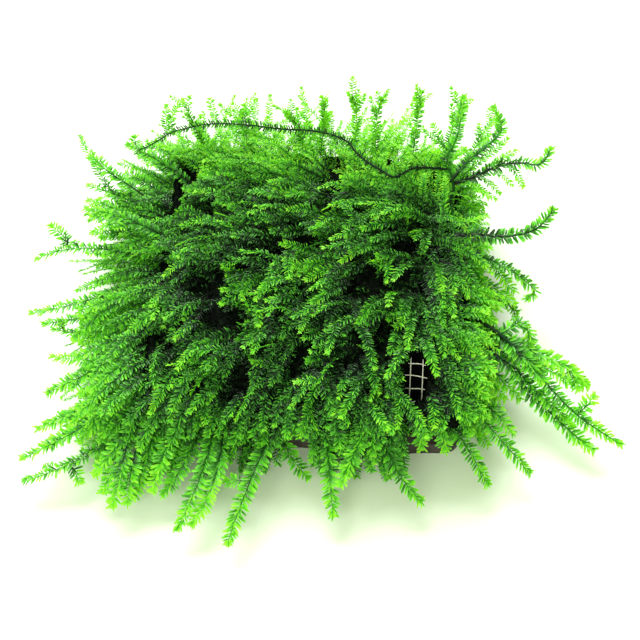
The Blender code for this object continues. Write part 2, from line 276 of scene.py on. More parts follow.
# Long shoots, from root to tip. Three places are a root, the middle of an arch and a tip, and a
# shoot that winds has more.
LONG_SHOOTS = {
    "front": (
        ((-4.5, -42.5, 12), (-10, -59.5, 10.5), (-14.5, -75, 5)),
        ((-19.5, -43, 12), (-21.5, -59, 11), (-26.5, -71.5, 5)),
        ((6.5, -42.5, 13), (8, -56, 10), (9.5, -65, 5)),
        ((18, -42, 12), (23.5, -54, 10), (30, -60, 5)),
        ((-5.5, -42.5, 8), (-1.5, -50, 7), (3, -54, 4)),
        ((20.5, -39.5, 17.5), (15, -50, 15), (10.5, -61, 11)),
        ((34.5, -39.5, 12), (40.5, -48.5, 10.5), (45.5, -54.5, 5)),
        ((37, -33.5, 14), (47.5, -44.5, 11), (55.5, -50.5, 5)),
        ((-23, -43, 10), (-26, -54.5, 9), (-31, -62, 5)),
        ((-32, -42, 12), (-35, -54, 10), (-37, -63, 5)),
        ((-37, -40.5, 13), (-41, -53.5, 11), (-45, -62.5, 5)),
    ),
    "left": (
        ((-38, -38, 16.5), (-51, -48.5, 12.5), (-66.5, -55.5, 7)),
        ((-36, -43, 10), (-51, -54.5, 8), (-65, -60, 5)),
        ((-38, -35.5, 13), (-51, -42, 11.5), (-61.5, -46, 9)),
        ((-38, -27, 16), (-51, -33.5, 14.5), (-62, -39.5, 12)),
        ((-38.5, -21, 11), (-54, -18.5, 10), (-65.5, -16, 8.5)),
        ((-39.5, -12.5, 15), (-54.5, -14.5, 12.5), (-68.5, -15.5, 9.5)),
        ((-39, -5.5, 18), (-57.5, -12.5, 15.5), (-71, -14.5, 12.5)),
        ((-40, 1, 17), (-58, 3, 19), (-73, 2.5, 13.5)),
        ((-38, 7, 20), (-49.5, 10.5, 23), (-61, 14, 22)),
        ((-38, 14, 18.5), (-50, 19, 21.5), (-62, 24, 21)),
        (
            (-38, 19.5, 22.5), (-46, 18, 22), (-51.5, 18, 22), (-57.5, 25.5, 23), (-60, 29.5, 24),
            (-62.5, 33, 25), (-65.5, 38.5, 26),
        ),
        ((-36, 29, 20), (-44, 32, 24), (-52, 35, 26)),
    ),
    "back": (
        ((-31, 40, 19), (-34.5, 43.5, 26.5), (-38, 47, 32)),
        (
            (33.9, 27.5, 29), (25.5, 25.3, 31), (20.4, 20.6, 32), (16.7, 21.9, 33),
            (12.8, 24.4, 33.5), (9.8, 27.5, 34), (7.8, 30.3, 34.5), (3, 32.5, 35),
            (-3.3, 33.1, 35.5), (-9.6, 33.1, 35.5), (-18, 33.6, 36), (-27, 33.6, 36),
            (-32.7, 32.7, 35.5), (-38.7, 31.6, 34), (-43.1, 29.5, 32), (-47.6, 29.4, 29),
        ),
        ((-20, 40, 18), (-21, 46, 23.5), (-22, 52, 27)),
        ((-5, 41, 17), (-7, 47, 25), (-14, 49.5, 29)),
        ((0, 41, 18), (0.5, 45, 26.5), (1, 49, 33)),
        ((8, 41, 17), (9.5, 48.5, 27), (6.5, 51.5, 33)),
        ((15, 41, 17), (15, 48, 26.5), (16, 51, 32)),
        ((25, 41, 18), (26, 47, 27), (27, 53, 34)),
        ((33, 38, 19), (35.5, 44, 28.5), (38, 50, 34)),
        ((37, 33, 19), (42.5, 40.5, 27), (48, 48, 31)),
    ),
    "right": (
        (
            (36, 28, 23), (42, 29.5, 25), (46, 31.5, 26), (50, 32.5, 27), (54.5, 33, 27),
            (57.5, 32.5, 27), (59.5, 33, 28), (61.5, 37, 29.5),
        ),
        (
            (35, 11, 21), (39.5, 10.5, 22), (43, 10, 23), (47.5, 9.5, 23), (52, 9.5, 24),
            (55.5, 10, 25), (58, 11.5, 26), (61.5, 16, 28),
        ),
        (
            (35, 9.5, 19), (39, 7.5, 20), (42.5, 5.5, 20), (46.5, 4.5, 19), (50.5, 3, 18),
            (54.5, 1.5, 16), (57.5, -0.5, 14), (55.5, -2.5, 13),
        ),
        ((40, -13.5, 13), (59.5, -22, 14), (69.5, -27.5, 10)),
        (
            (38, -16, 16), (44, -16, 16), (47, -16.5, 16), (49.5, -19, 16), (51.5, -22.5, 16),
            (55, -24, 15), (58, -27, 13), (61, -31, 12), (67, -36.5, 10), (74, -40.5, 8),
            (77, -42, 7),
        ),
        (
            (38, -16, 14), (44.5, -19, 14), (47.5, -22.5, 14), (50.5, -25, 13), (54, -28.5, 11),
            (57.5, -31.5, 9), (64.5, -38, 7), (71.5, -43.5, 5),
        ),
        (
            (39, -13, 15), (46.5, -17, 16), (50, -16, 17), (52.5, -14.5, 18), (54.5, -15.5, 17),
            (55.5, -18, 15.5),
        ),
        ((41, 2.5, 10), (48.5, 0.5, 9), (54, -1, 6)),
        ((39.5, -30.5, 11), (45.5, -35, 10), (51.5, -40.5, 7)),
    ),
}

# How long shoots look, and how far past their roots they start, as a share of their length. Some
# differ, by side and place in the list above. The one at the back is an old runner, with only
# short leaves.
LONG_SHOOT_LOOK = {"glow": 0.75, "fade": 0.4, "stout": 1.4}
LONG_SHOOT_ROOT = 0.12
LONG_ROLLS_STRAY = 0.15
LONG_TONES = (-0.04, 0.04)
OWN_LOOKS = {
    ("back", 1): {"glow": 0.4, "size": 0.9, "stout": 2.5, "fade": 0.3, "roll": -0.8, "bark": 0.8},
    ("left", 10): {"size": 0.8, "stout": 1.2},
    ("right", 0): {"size": 1.15, "stout": 2.4, "fade": 0.6, "bark": 0.8},
    ("right", 1): {"glow": 0.7, "size": 1.25, "stout": 2.2, "fade": 0.6, "bark": 0.8},
    ("right", 2): {"stout": 1.6, "fade": 0.5},
    ("right", 3): {"glow": 0.86, "size": 1.55, "fade": 0.3},
    ("right", 4): {"glow": 0.84, "bare": 0.12, "stout": 2.2, "fade": 0.6, "bark": 0.5},
    ("right", 5): {"glow": 0.84, "size": 1.35, "bare": 0.12, "stout": 1.8, "fade": 0.6, "bark": 0.5},
}

# How large the long shoots' leaves are, then the short side shoots: how many, their look, and
# what they vary in. Last, the branches: how dull their roots are, and the bark and larger
# leaves of stout ones.
LONG_SHOOT_SIZE = {"front": 1.22, "left": 1.12, "back": 1.0, "right": 1.18}
SPRIGS = {"front": 0, "left": 2, "back": 8, "right": 1}
SPRIG_LOOK = {"glow": 0.86, "fade": 0.2}
SPRIG_SIZE = 0.85
SPRIG_PLACES = (0.3, 0.8)
SPRIG_TURNS = (28, 60)
SPRIG_LENGTHS = (3, 5.5)
SPRIG_BOWS = (-0.5, 0.8)
BRANCH_FADE = 0.4
BRANCH_BARK = 0.5
BARK_GAIN = 0.6

# Bare old stems and side branches: each one's bare share, stoutness and glow, then its route.
BRANCHES = {
    "back": (
        (
            0.3, 2.3, 0.68, (34, 19, 19), (36, 27, 23), (34, 32, 28), (36, 36, 31), (37, 41, 33),
            (38, 49, 35),
        ),
        (0.1, 2.5, 0.68, (35, 28, 24), (40, 33, 27), (46, 37, 31), (48, 40, 33), (46, 45, 35)),
        (0.1, 0.8, 0.95, (46, 31, 26), (49, 28.5, 26), (51, 27, 25)),
        (0.1, 0.8, 0.95, (43, 30, 25), (48, 34, 27), (52, 36.5, 28)),
        (0.1, 0.9, 0.9, (34, 34, 30), (31, 36, 31), (28, 37, 33)),
        (0.2, 1.1, 0.95, (36, 26, 22), (40, 28, 24), (45, 24, 23)),
        (0.1, 0.8, 0.95, (49, 32, 26.5), (52, 31, 26), (54, 28, 24)),
        (0.1, 0.8, 0.95, (-27, 38, 32), (-29, 42, 33), (-30, 45, 34)),
        (0, 0.8, 0.95, (-20, 41, 24), (-22, 43.5, 28), (-27, 45, 32)),
        (0, 1, 0.98, (-39.5, 37, 28), (-40, 39, 31), (-39, 41.5, 33), (-37.5, 44.5, 34)),
        (0, 0.9, 0.98, (-41, 37.5, 28), (-41.5, 40, 31), (-41.5, 42.5, 33)),
        (0, 0.9, 0.95, (33.5, 35.5, 29), (32, 37, 31), (30, 39.5, 33)),
        (0, 1, 0.9, (38.5, 30.5, 24), (42.5, 32.5, 27), (46.5, 35.5, 29), (49.5, 37.5, 31)),
        (0, 1, 0.95, (37, 30, 23), (40, 28.5, 23), (43.5, 27.5, 22), (47, 25.5, 21)),
        (0, 1, 0.95, (40.5, 32, 24), (43.5, 30, 24), (46.5, 28, 23), (48, 27, 22)),
    ),
    "left": (
        (0, 0.9, 0.95, (-63, 4, 18), (-65, 7, 19), (-68, 9, 20)),
        (0.15, 1.4, 0.85, (-45, 18, 24), (-51, 22, 25), (-56, 25, 26), (-60, 30, 26)),
        (0.6, 0.8, 0.9, (-45, 3, 24), (-49, 6, 25), (-52, 7, 24), (-56, 6, 22)),
        (0, 0.9, 0.9, (-54, -55, 7.5), (-52.5, -56.5, 6), (-51, -58.5, 5)),
        (0, 1, 0.95, (-40, -37, 13), (-50, -41, 12), (-57, -45, 10), (-62, -47, 9)),
        (0, 1, 0.95, (-46, -41, 11), (-54, -47, 9), (-60, -51, 8)),
        (0, 1, 0.95, (-42, -32, 14), (-52, -29.5, 13.5), (-61.5, -28.5, 13)),
        (0, 1, 0.95, (-44, 9, 20), (-50, 14, 21), (-56, 17, 21), (-60, 19, 20)),
    ),
    "right": (
        (0, 1.1, 0.95, (40, 4, 15), (47, 0, 14), (52, -3, 12)),
        (
            0.3, 1.2, 1, (45, -18, 15), (51.5, -23, 14), (58, -24, 13), (62.5, -26, 12),
            (66.5, -28.5, 11),
        ),
        (0.5, 1, 0.7, (53, -15, 17.5), (54.5, -16, 17), (55.5, -18.5, 15)),
        (0, 1, 0.7, (44, -18, 14), (51, -25, 13), (58, -31, 10.5), (64, -36, 8.5)),
        (0.5, 2.2, 0.7, (40, -12, 17), (47, -17, 17), (52, -22, 16), (58, -28, 13)),
        (0, 0.8, 0.95, (66, -36, 10), (68, -35, 11), (70, -33, 13)),
        (0, 1, 0.9, (44, -23.5, 13), (47.5, -26, 11), (50.5, -28, 9), (53, -29.5, 7)),
        (0, 1, 0.9, (43.5, -26, 12), (47, -28.5, 10), (49, -30, 8)),
        (0, 1, 0.95, (43, 8, 17), (46.5, 6, 16), (49.5, 3.5, 14), (52, 1.5, 12)),
    ),
    "front": (
        (0.3, 0.8, 0.95, (-10.5, -59.5, 10), (-13, -59, 9), (-15.5, -58.5, 8)),
        (0, 1.1, 0.95, (-17.5, -48.5, 12), (-18, -58.5, 11), (-20.5, -66, 8), (-22.5, -69, 6)),
        (0, 1.1, 0.95, (-29, -45, 12), (-31, -55, 11), (-33, -61, 7)),
        (0, 1.1, 0.95, (-40.5, -45, 12), (-43, -54, 11), (-46.5, -58, 8)),
        (0, 1.1, 0.95, (-39.5, -53.5, 13), (-40, -58.5, 12), (-40.5, -62.5, 10), (-41.5, -65.5, 7)),
        (0, 1.1, 0.95, (-37.5, -54, 12), (-38, -60.5, 10), (-38.5, -64, 6)),
        (0, 0.8, 0.9, (28.5, -39.5, 14), (29, -43, 11), (29.5, -45.5, 7.5)),
        (0, 0.8, 0.9, (34, -39.5, 13.5), (34.5, -43, 11), (35, -45.5, 7)),
    ),
}


# Helpers


def enabled(sockets, key):
    live = [socket for socket in sockets if socket.enabled]
    return live[key] if isinstance(key, int) else next(s for s in live if s.name == key)


class NodeMaker:
    """Adds nodes to a tree. Each input takes a value or another node's output."""

    def __init__(self, tree):
        self.tree = tree

    def add(self, kind, values=None, output=0, **settings):
        node = self.tree.nodes.new(kind)
        for name, value in settings.items():
            setattr(node, name, value)
        for key, value in (values or {}).items():
            self.feed(enabled(node.inputs, key), value)
        return enabled(node.outputs, output) if node.outputs else node

    def feed(self, socket, value):
        for item in value if isinstance(value, list) else [value]:
            if isinstance(item, bpy.types.NodeSocket):
                self.tree.links.new(item, socket)
            else:
                socket.default_value = item

    def math(self, operation, *values, clamp=False):
        inputs = dict(enumerate(values))
        return self.add("ShaderNodeMath", inputs, operation=operation, use_clamp=clamp)

    def times(self, product, *factors):
        for factor in factors:
            product = self.math("MULTIPLY", product, factor)
        return product

    def line(self, value, slope, start):
        return self.math("MULTIPLY_ADD", value, slope, start)

    def vector(self, operation, *values):
        return self.add("ShaderNodeVectorMath", dict(enumerate(values)), operation=operation)

    def scaled(self, vector, factor):
        values = {"Vector": vector, "Scale": factor}
        return self.add("ShaderNodeVectorMath", values, operation="SCALE")

    def summed(self, total, *vectors):
        for vector in vectors:
            total = self.vector("ADD", total, vector)
        return total

    def axis(self, vector, name):
        return self.add("ShaderNodeSeparateXYZ", {"Vector": vector}, name)

    def combined(self, **axes):
        return self.add("ShaderNodeCombineXYZ", axes)

    def attribute(self, name):
        values = {"Name": name}
        return self.add("GeometryNodeInputNamedAttribute", values, data_type="FLOAT")

    def stored(self, geometry, name, value, domain="POINT", kind="FLOAT"):
        values = {"Geometry": geometry, "Name": name, "Value": value}
        settings = {"data_type": kind, "domain": domain}
        return self.add("GeometryNodeStoreNamedAttribute", values, **settings)

    def material(self, geometry, finish, chosen=True):
        values = {"Geometry": geometry, "Selection": chosen, "Material": finish}
        return self.add("GeometryNodeSetMaterial", values)

    def noise(self, place, scale, detail):
        return self.add("ShaderNodeTexNoise", {"Vector": place, "Scale": scale, "Detail": detail})

    def bump(self, height, strength, distance):
        values = {"Strength": strength, "Distance": distance, "Height": height}
        return self.add("ShaderNodeBump", values)

    def ramp(self, factor, stops):
        node = self.tree.nodes.new("ShaderNodeValToRGB")
        marks = node.color_ramp.elements
        while len(marks) < len(stops):
            marks.new(0.5)
        for mark, (place, colour) in zip(marks, stops):
            mark.position = place
            mark.color = (*colour, 1)
        self.tree.links.new(factor, node.inputs["Fac"])
        return node.outputs["Color"]

    def mix(self, factor, first, second, blend="MIX"):
        values = {"Factor": factor, "A": first, "B": second}
        return self.add("ShaderNodeMix", values, "Result", data_type="RGBA", blend_type=blend)

    def surface(self, **values):
        """Sets inputs of the material's main shader, each named with _ for a space."""
        shader = self.tree.nodes["Principled BSDF"]
        for name, value in values.items():
            self.feed(shader.inputs[name.replace("_", " ")], value)
        return shader.outputs["BSDF"]

    def joined(self, parts):
        """The parts as one smooth mesh, with their instances made real."""
        whole = self.add("GeometryNodeJoinGeometry", {"Geometry": parts})
        solid = self.add("GeometryNodeRealizeInstances", {"Geometry": whole})
        return self.add("GeometryNodeSetShadeSmooth", {"Geometry": solid})

    def end(self, geometry):
        output = self.tree.nodes.new("NodeGroupOutput")
        self.tree.links.new(geometry, output.inputs["Geometry"])
        return self.tree


def geometry_tree(name, kinds):
    """A tree that takes and gives geometry, and its inputs, whose kinds are given by name."""
    tree = bpy.data.node_groups.new(name, "GeometryNodeTree")
    for flow in ("INPUT", "OUTPUT"):
        tree.interface.new_socket("Geometry", in_out=flow, socket_type="NodeSocketGeometry")
    for label, kind in kinds.items():
        tree.interface.new_socket(label, in_out="INPUT", socket_type=f"NodeSocket{kind}")
    return tree, tree.nodes.new("NodeGroupInput").outputs


def plain_mesh(thing):
    """The mesh that an object has with its modifiers, which are then removed."""
    bpy.context.view_layer.update()
    graph = bpy.context.evaluated_depsgraph_get()
    mesh = bpy.data.meshes.new_from_object(thing.evaluated_get(graph))
    thing.modifiers.clear()
    return mesh


def grown(name, source, tree, values):
    """A plain mesh piece from a geometry tree run on a source mesh with these inputs."""
    maker = add_object(name + "_source", source)
    modifier = maker.modifiers.new("Grow", "NODES")
    modifier.node_group = tree
    for item in tree.interface.items_tree:
        if item.in_out == "INPUT" and item.name in values:
            modifier[item.identifier] = values[item.name]
    mesh = plain_mesh(maker)
    mesh.name = name
    bpy.data.objects.remove(maker, do_unlink=True)
    return add_object(name, mesh)


def add_object(name, data, finish=None):
    thing = bpy.data.objects.new(name, data)
    bpy.context.scene.collection.objects.link(thing)
    if finish:
        data.materials.append(finish)
    return thing


def mesh_object(name, shape, finish=None):
    mesh = bpy.data.meshes.new(name)
    shape.to_mesh(mesh)
    shape.free()
    return add_object(name, mesh, finish)


def place_piece(piece, slot, *nodes):
    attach(piece, "root")
    if nodes:
        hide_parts(*nodes)


def smooth(value, low, high):
    share = min(max((value - low) / (high - low), 0), 1)
    return share * share * (3 - 2 * share)


def heading(angle):
    return Vector((math.cos(angle), math.sin(angle)))


# Finishes

# Each shade, from the darkest to the brightest: its place on the ramp, and its colour.
# For the moss, a shade holds its own tone and age together with its painted light and shade.
LEAF_HEART = (
    (0.0, (0.0006, 0.0020, 0.0012)),
    (0.25, (0.002, 0.022, 0.004)),
    (0.5, (0.006, 0.105, 0.006)),
    (0.75, (0.034, 0.370, 0.008)),
    (1.0, (0.200, 0.700, 0.020)),
)
# The margin's colours: paler leaf edges and tips, with painted sheen where light glints off them.
LEAF_MARGIN_AND_SHEEN = (
    (0.0, (0.008, 0.018, 0.009)),
    (0.25, (0.058, 0.200, 0.042)),
    (0.5, (0.155, 0.570, 0.065)),
    (0.75, (0.260, 0.810, 0.050)),
    (1.0, (0.460, 0.900, 0.085)),
)
STEM_SHADES = (
    (0.0, (0.003, 0.003, 0.003)),
    (0.35, (0.004, 0.024, 0.006)),
    (0.7, (0.014, 0.140, 0.006)),
    (1.0, (0.160, 0.560, 0.012)),
)
# The core's colours: dark old stems, taken to near black as painted shade deep in the cushion.
CORE_STEMS_AND_SHADE = (
    (0.35, (0.001, 0.001, 0.001)),
    (0.6, (0.004, 0.006, 0.004)),
    (0.8, (0.010, 0.020, 0.008)),
)
WOOD_SHADES = (
    (0.3, (0.006, 0.003, 0.004)),
    (0.55, (0.030, 0.016, 0.020)),
    (0.8, (0.120, 0.080, 0.078)),
)
WOOD_CLOUDS = (0.030, 0.020, 0.020, 1)
# Painted shade: the wood's top, under the moss and the mesh, darkens to near black between two heights,
# in millimetres.
WOOD_PAINTED_SHADE = (0.004, 0.003, 0.004, 1)
WOOD_SHADE_HEIGHTS = (3.5, 7)
# The wire's colours: a cream film, painted near white as the steel's reflection.
STEEL_FILM_AND_SHEEN = ((0.3, (1.0, 0.98, 0.92)), (0.75, (0.98, 0.93, 0.80)))
LIGHT_THROUGH_LEAF = (1, 1, 0.3, 1)


def new_material(name):
    found = bpy.data.materials.new(name)
    found.use_nodes = True
    return found, NodeMaker(found.node_tree)


def leaf_material():
    """Thin leaves: darker heart, paler margin with painted sheen, light let through from behind."""
    found, make = new_material("moss_leaf")
    place = make.add("ShaderNodeUVMap", uv_map="OFBake")
    shade = make.axis(place, "Y")
    heart, margin = make.ramp(shade, LEAF_HEART), make.ramp(shade, LEAF_MARGIN_AND_SHEEN)
    colour = make.mix(make.axis(place, "X"), heart, margin)
    leaf = make.surface(Base_Color=colour, Roughness=0.3, Specular_IOR_Level=0.12)
    yellowed = make.mix(1.0, colour, LIGHT_THROUGH_LEAF, "MULTIPLY")
    through = make.add("ShaderNodeBsdfTranslucent", {"Color": yellowed})
    thin = make.line(shade, 0.25, 0.25)
    both = make.add("ShaderNodeMixShader", {"Fac": thin, 1: leaf, 2: through})
    make.feed(found.node_tree.nodes["Material Output"].inputs["Surface"], both)
    return found


def stem_material():
    found, make = new_material("moss_stem")
    shade = make.axis(make.add("ShaderNodeUVMap", uv_map="OFBake"), "Y")
    colour = make.ramp(shade, STEM_SHADES)
    make.surface(Base_Color=colour, Roughness=0.5, Specular_IOR_Level=0.1)
    return found


def core_material():
    """Old dark matted stems deep in the cushion, flecked dead green, painted near black as shade."""
    found, make = new_material("matted_stems_and_shade")
    fine = make.noise(make.add("ShaderNodeTexCoord", output="Object"), 900.0, 4.0)
    colour, bump = make.ramp(fine, CORE_STEMS_AND_SHADE), make.bump(fine, 0.8, 0.6 * MM)
    make.surface(Base_Color=colour, Roughness=0.85, Specular_IOR_Level=0.0, Normal=bump)
    return found


def wood_material():
    """Waterlogged driftwood: brown black with grain streaks, its top darkened by painted shade."""
    found, make = new_material("driftwood_grain_and_shade")
    place = make.add("ShaderNodeTexCoord", output="Object")
    drawn = make.add("ShaderNodeMapping", {"Vector": place, "Scale": (420.0, 60.0, 420.0)})
    streak = make.noise(drawn, 1.0, 6.0)
    cloud = make.noise(place, 120.0, 3.0)
    colour = make.mix(cloud, make.ramp(streak, WOOD_SHADES), WOOD_CLOUDS)
    # Painted shade: above the upright edge the wood darkens to near black, and its specular fades with
    # it.
    low, high = WOOD_SHADE_HEIGHTS
    span = {"Value": make.axis(place, "Z"), "From Min": low * MM, "From Max": high * MM}
    top = make.add("ShaderNodeMapRange", span)
    make.surface(
        Base_Color=make.mix(top, colour, WOOD_PAINTED_SHADE),
        Specular_IOR_Level=make.line(top, -0.4, 0.4),
        Roughness=make.line(streak, 0.35, 0.45),
        Normal=make.bump(streak, 0.7, 0.4 * MM),
    )
    return found


def steel_material():
    """Stainless wire under a dull cream film left by water, painted near white as its reflection."""
    found, make = new_material("steel_wire")
    film_and_sheen = make.noise(make.add("ShaderNodeTexCoord", output="Object"), 600.0, 3.0)
    make.surface(Base_Color=make.ramp(film_and_sheen, STEEL_FILM_AND_SHEEN), Roughness=make.line(film_and_sheen, 0.3, 0.3))
    return found


# Driftwood


def slab_outline():
    """Points round the driftwood's edge: four arcs, joined by worn straight sides."""
    half = Vector((SLAB_WIDTH / 2 - CORNER_RADIUS, SLAB_DEPTH / 2 - CORNER_RADIUS))
    arc_steps, side_steps = 9, 60
    corners = []
    for quarter, signs in enumerate(((1, 1), (-1, 1), (-1, -1), (1, -1))):
        centre = Vector((half.x * signs[0], half.y * signs[1]))
        for step in range(arc_steps + 1):
            angle = math.radians(90) * (quarter + step / arc_steps)
            corners.append(centre + CORNER_RADIUS * heading(angle))
    points = []
    for index, point in enumerate(corners):
        points.append(point)
        if index % (arc_steps + 1) == arc_steps:
            after = corners[(index + 1) % len(corners)]
            points += [point.lerp(after, step / side_steps) for step in range(1, side_steps)]
    return [point + worn(point) for point in points]


def worn(point):
    lift = noise.noise(Vector((point.x, point.y, 0)) / WEAR_LENGTH)
    return point.normalized() * EDGE_WEAR * lift


def rise(distance, slope):
    return math.sin(math.radians(90) * min(max(distance / slope, 0), 1))


def crown(x, y):
    """Height of the driftwood's top before its grain is cut."""
    across = 1 - rise(SLAB_WIDTH / 2 - abs(x), SIDE_SLOPE)
    along = 1 - rise(SLAB_DEPTH / 2 - abs(y), END_SLOPE)
    full = 1 - min(1, math.hypot(across, along))
    return EDGE_HEIGHT + (CROWN_HEIGHT - EDGE_HEIGHT) * full


def grain(x, y):
    drift = noise.noise(Vector((x, y * 0.4, 0)) / DRIFT_LENGTH) * GRAIN_DRIFT
    return GRAIN_DEPTH * (0.5 - 0.5 * math.cos(math.tau * (x + drift) / GRAIN_PITCH))


def ringed(outline, rings):
    """A closed mesh of rings, each a function and its values, which place the outline's points."""
    shape = bmesh.new()
    made = []
    for place, *values in rings:
        made.append([shape.verts.new(place(point, *values) * MM) for point in outline])
    for lower, upper in zip(made, made[1:]):
        for index in range(len(outline)):
            after = (index + 1) % len(outline)
            shape.faces.new((lower[index], lower[after], upper[after], upper[index]))
    for ring in (made[0], made[-1]):
        cap = shape.faces.new(ring)
        bmesh.ops.poke(shape, faces=[cap])
    bmesh.ops.recalc_face_normals(shape, faces=shape.faces)
    for face in shape.faces:
        face.smooth = True
    return shape


def on_wall(point, height, inset=0.0):
    """A place on the driftwood's rough upright edge."""
    across, along, up = GROOVE_SCALE
    grooves = noise.noise(Vector((point.x * across, point.y * along, height * up)))
    specks = noise.noise(Vector((point.x, point.y, height)) * SPECK_SCALE)
    rough = WALL_GROOVES * grooves + WALL_SPECKS * specks
    spot = point - point.normalized() * (inset - rough * smooth(height, 0, 0.8))
    return Vector((spot.x, spot.y, height))


def on_top(point, share):
    """A place on the driftwood's top, where the grain fades in from the edge."""
    x, y = point.x * share, point.y * share
    pits = TOP_PITS * noise.noise(Vector((x * PIT_SCALE[0], y * PIT_SCALE[1], 7)))
    depth = grain(x, y) * min(1, (1 - share) * 8)
    return Vector((x, y, crown(x, y) - depth + pits - TOP_DROP))


def build_driftwood():
    rings = [(on_wall, *ring) for ring in FOOT_RINGS]
    rings += [(on_wall, EDGE_HEIGHT * step / WALL_STEPS) for step in range(1, WALL_STEPS - 1)]
    for step in range(1, ROUNDING_STEPS):
        angle = math.radians(90) * step / ROUNDING_STEPS
        drop = EDGE_ROUNDING * (1 - math.sin(angle))
        rings.append((on_wall, EDGE_HEIGHT - drop, EDGE_ROUNDING * (1 - math.cos(angle))))
    rings += [(on_top, TOP_START - TOP_SPAN * step / TOP_STEPS) for step in range(TOP_STEPS + 1)]
    piece = mesh_object("driftwood_slab", ringed(slab_outline(), rings), wood_material())
    place_piece(piece, "driftwood", "driftwood")


# Woven mesh


def woven_mesh_tree(sizes):
    """Wires laid both ways across the crown, each passing over and under the others."""
    kinds = {**dict.fromkeys(sizes, "Float"), "Shift": "Vector", "Finish": "Material"}
    tree, given = geometry_tree("Woven steel mesh", kinds)
    make = NodeMaker(tree)
    wires = [wire_set(make, given, "X", "Y", 1.0), wire_set(make, given, "Y", "X", -1.0)]
    return make.end(make.material(make.joined(wires), given["Finish"]))


def wire_set(make, given, direction, other, sign):
    """Parallel wires along one direction, as tubes bent over the crown."""
    half = make.times(given[f"Span {direction}"], 0.5)
    ends = [make.combined(**{direction: make.times(half, side)}) for side in (-1.0, 1.0)]
    line = make.add("GeometryNodeCurvePrimitiveLine", {"Start": ends[0], "End": ends[1]})
    step = make.math("DIVIDE", given[f"Pitch {direction}"], 6.0)
    wire = make.add("GeometryNodeResampleCurve", {"Curve": line, "Length": step}, mode="LENGTH")
    pitch = given[f"Pitch {other}"]
    count = make.math("ROUND", make.math("DIVIDE", given[f"Span {other}"], pitch))
    values = {
        "Count": make.math("ADD", count, 1.0),
        "Start Location": make.combined(**{other: make.times(count, pitch, -0.5)}),
        "Offset": make.combined(**{other: pitch}),
    }
    places = make.add("GeometryNodeMeshLine", values)
    copies = make.add("GeometryNodeInstanceOnPoints", {"Points": places, "Instance": wire})
    wires = make.add("GeometryNodeRealizeInstances", {"Geometry": copies})
    offset = make.vector("ADD", draped_height(make, given, sign), given["Shift"])
    bent = make.add("GeometryNodeSetPosition", {"Geometry": wires, "Offset": offset})
    values = {"Resolution": 6, "Radius": given["Wire Radius"]}
    section = make.add("GeometryNodeCurvePrimitiveCircle", values)
    values = {"Curve": bent, "Profile Curve": section, "Fill Caps": True}
    return make.add("GeometryNodeCurveToMesh", values)


def draped_height(make, given, sign):
    """The crown's height at each point, with the weave's wave on it."""
    spot = make.add("GeometryNodeInputPosition")
    moved = make.vector("ADD", spot, given["Shift"])
    falls, waves = [], []
    for axis in "XY":
        edge = make.times(given[f"Slab {axis}"], 0.5)
        inward = make.math("SUBTRACT", edge, make.math("ABSOLUTE", make.axis(moved, axis)))
        share = make.math("DIVIDE", inward, given[f"Slope {axis}"], clamp=True)
        turn = make.times(share, math.radians(90))
        falls.append(make.math("SUBTRACT", 1.0, make.math("SINE", turn)))
        turns = make.math("DIVIDE", make.axis(spot, axis), given[f"Pitch {axis}"])
        waves.append(make.math("COSINE", make.times(turns, math.pi)))
    squares = [make.times(fall, fall) for fall in falls]
    fall = make.math("SQRT", make.math("ADD", *squares))
    full = make.math("SUBTRACT", 1.0, fall, clamp=True)
    gain = make.math("SUBTRACT", given["Crown Height"], given["Edge Height"])
    height = make.line(gain, full, given["Edge Height"])
    lifted = make.math("ADD", height, given["Lift"])
    wave = make.times(*waves, given["Wire Radius"])
    return make.combined(Z=make.line(wave, sign, lifted))


def build_woven_mesh():
    slab = (SLAB_WIDTH, SLAB_DEPTH)
    counts = [round((size / 2 - MESH_INSET) / pitch) for size, pitch in zip(slab, WIRE_PITCH)]
    spans = [2 * pitch * count for pitch, count in zip(WIRE_PITCH, counts)]
    sizes = {"Wire Radius": WIRE_RADIUS, "Lift": WIRE_LIFT}
    sizes.update({"Edge Height": EDGE_HEIGHT, "Crown Height": CROWN_HEIGHT})
    pairs = {"Span": spans, "Pitch": WIRE_PITCH, "Slab": slab, "Slope": (WIRE_SIDE_SLOPE, END_SLOPE)}
    for name, pair in pairs.items():
        sizes[f"{name} X"], sizes[f"{name} Y"] = pair
    values = {name: size * MM for name, size in sizes.items()}
    values.update({"Shift": Vector((*WIRE_SHIFT, 0)) * MM, "Finish": steel_material()})
    piece = grown("woven_mesh", bpy.data.meshes.new("nothing"), woven_mesh_tree(sizes), values)
    place_piece(piece, "steel_mesh", "wire_mesh")


# Moss cushion


def cushion_share(x, y):
    """0 at the cushion's middle, 1 at its rim, and more past it."""
    across, along = abs(x) / CUSHION_HALF_WIDTH, abs(y) / CUSHION_HALF_DEPTH
    return squared_off(across, along)


def squared_off(u, v):
    """A distance from the middle whose rings are squares with rounded corners."""
    return (u**CUSHION_SQUARENESS + v**CUSHION_SQUARENESS) ** (1 / CUSHION_SQUARENESS)


def cushion_top(x, y):
    """Height of the moss's surface over a place, falling away past the rim."""
    share = cushion_share(x, y)
    if share <= 1:
        return CUSHION_TOP - (CUSHION_TOP - CUSHION_RIM) * share**4
    past = (share - 1) * CUSHION_HALF_WIDTH
    backward = Vector((x, y)).normalized().y
    fall = SURFACE_FALL["all"] + SURFACE_FALL["front"] * max(0, -backward)
    fall += SURFACE_FALL["back"] * max(0, backward)
    return CUSHION_RIM - fall * past


def above_wood(point, share):
    """A place on the core's underside, just above the driftwood's crown."""
    x, y = point.x * share, point.y * share
    return Vector((x, y, crown(x, y) + CORE_GAP))


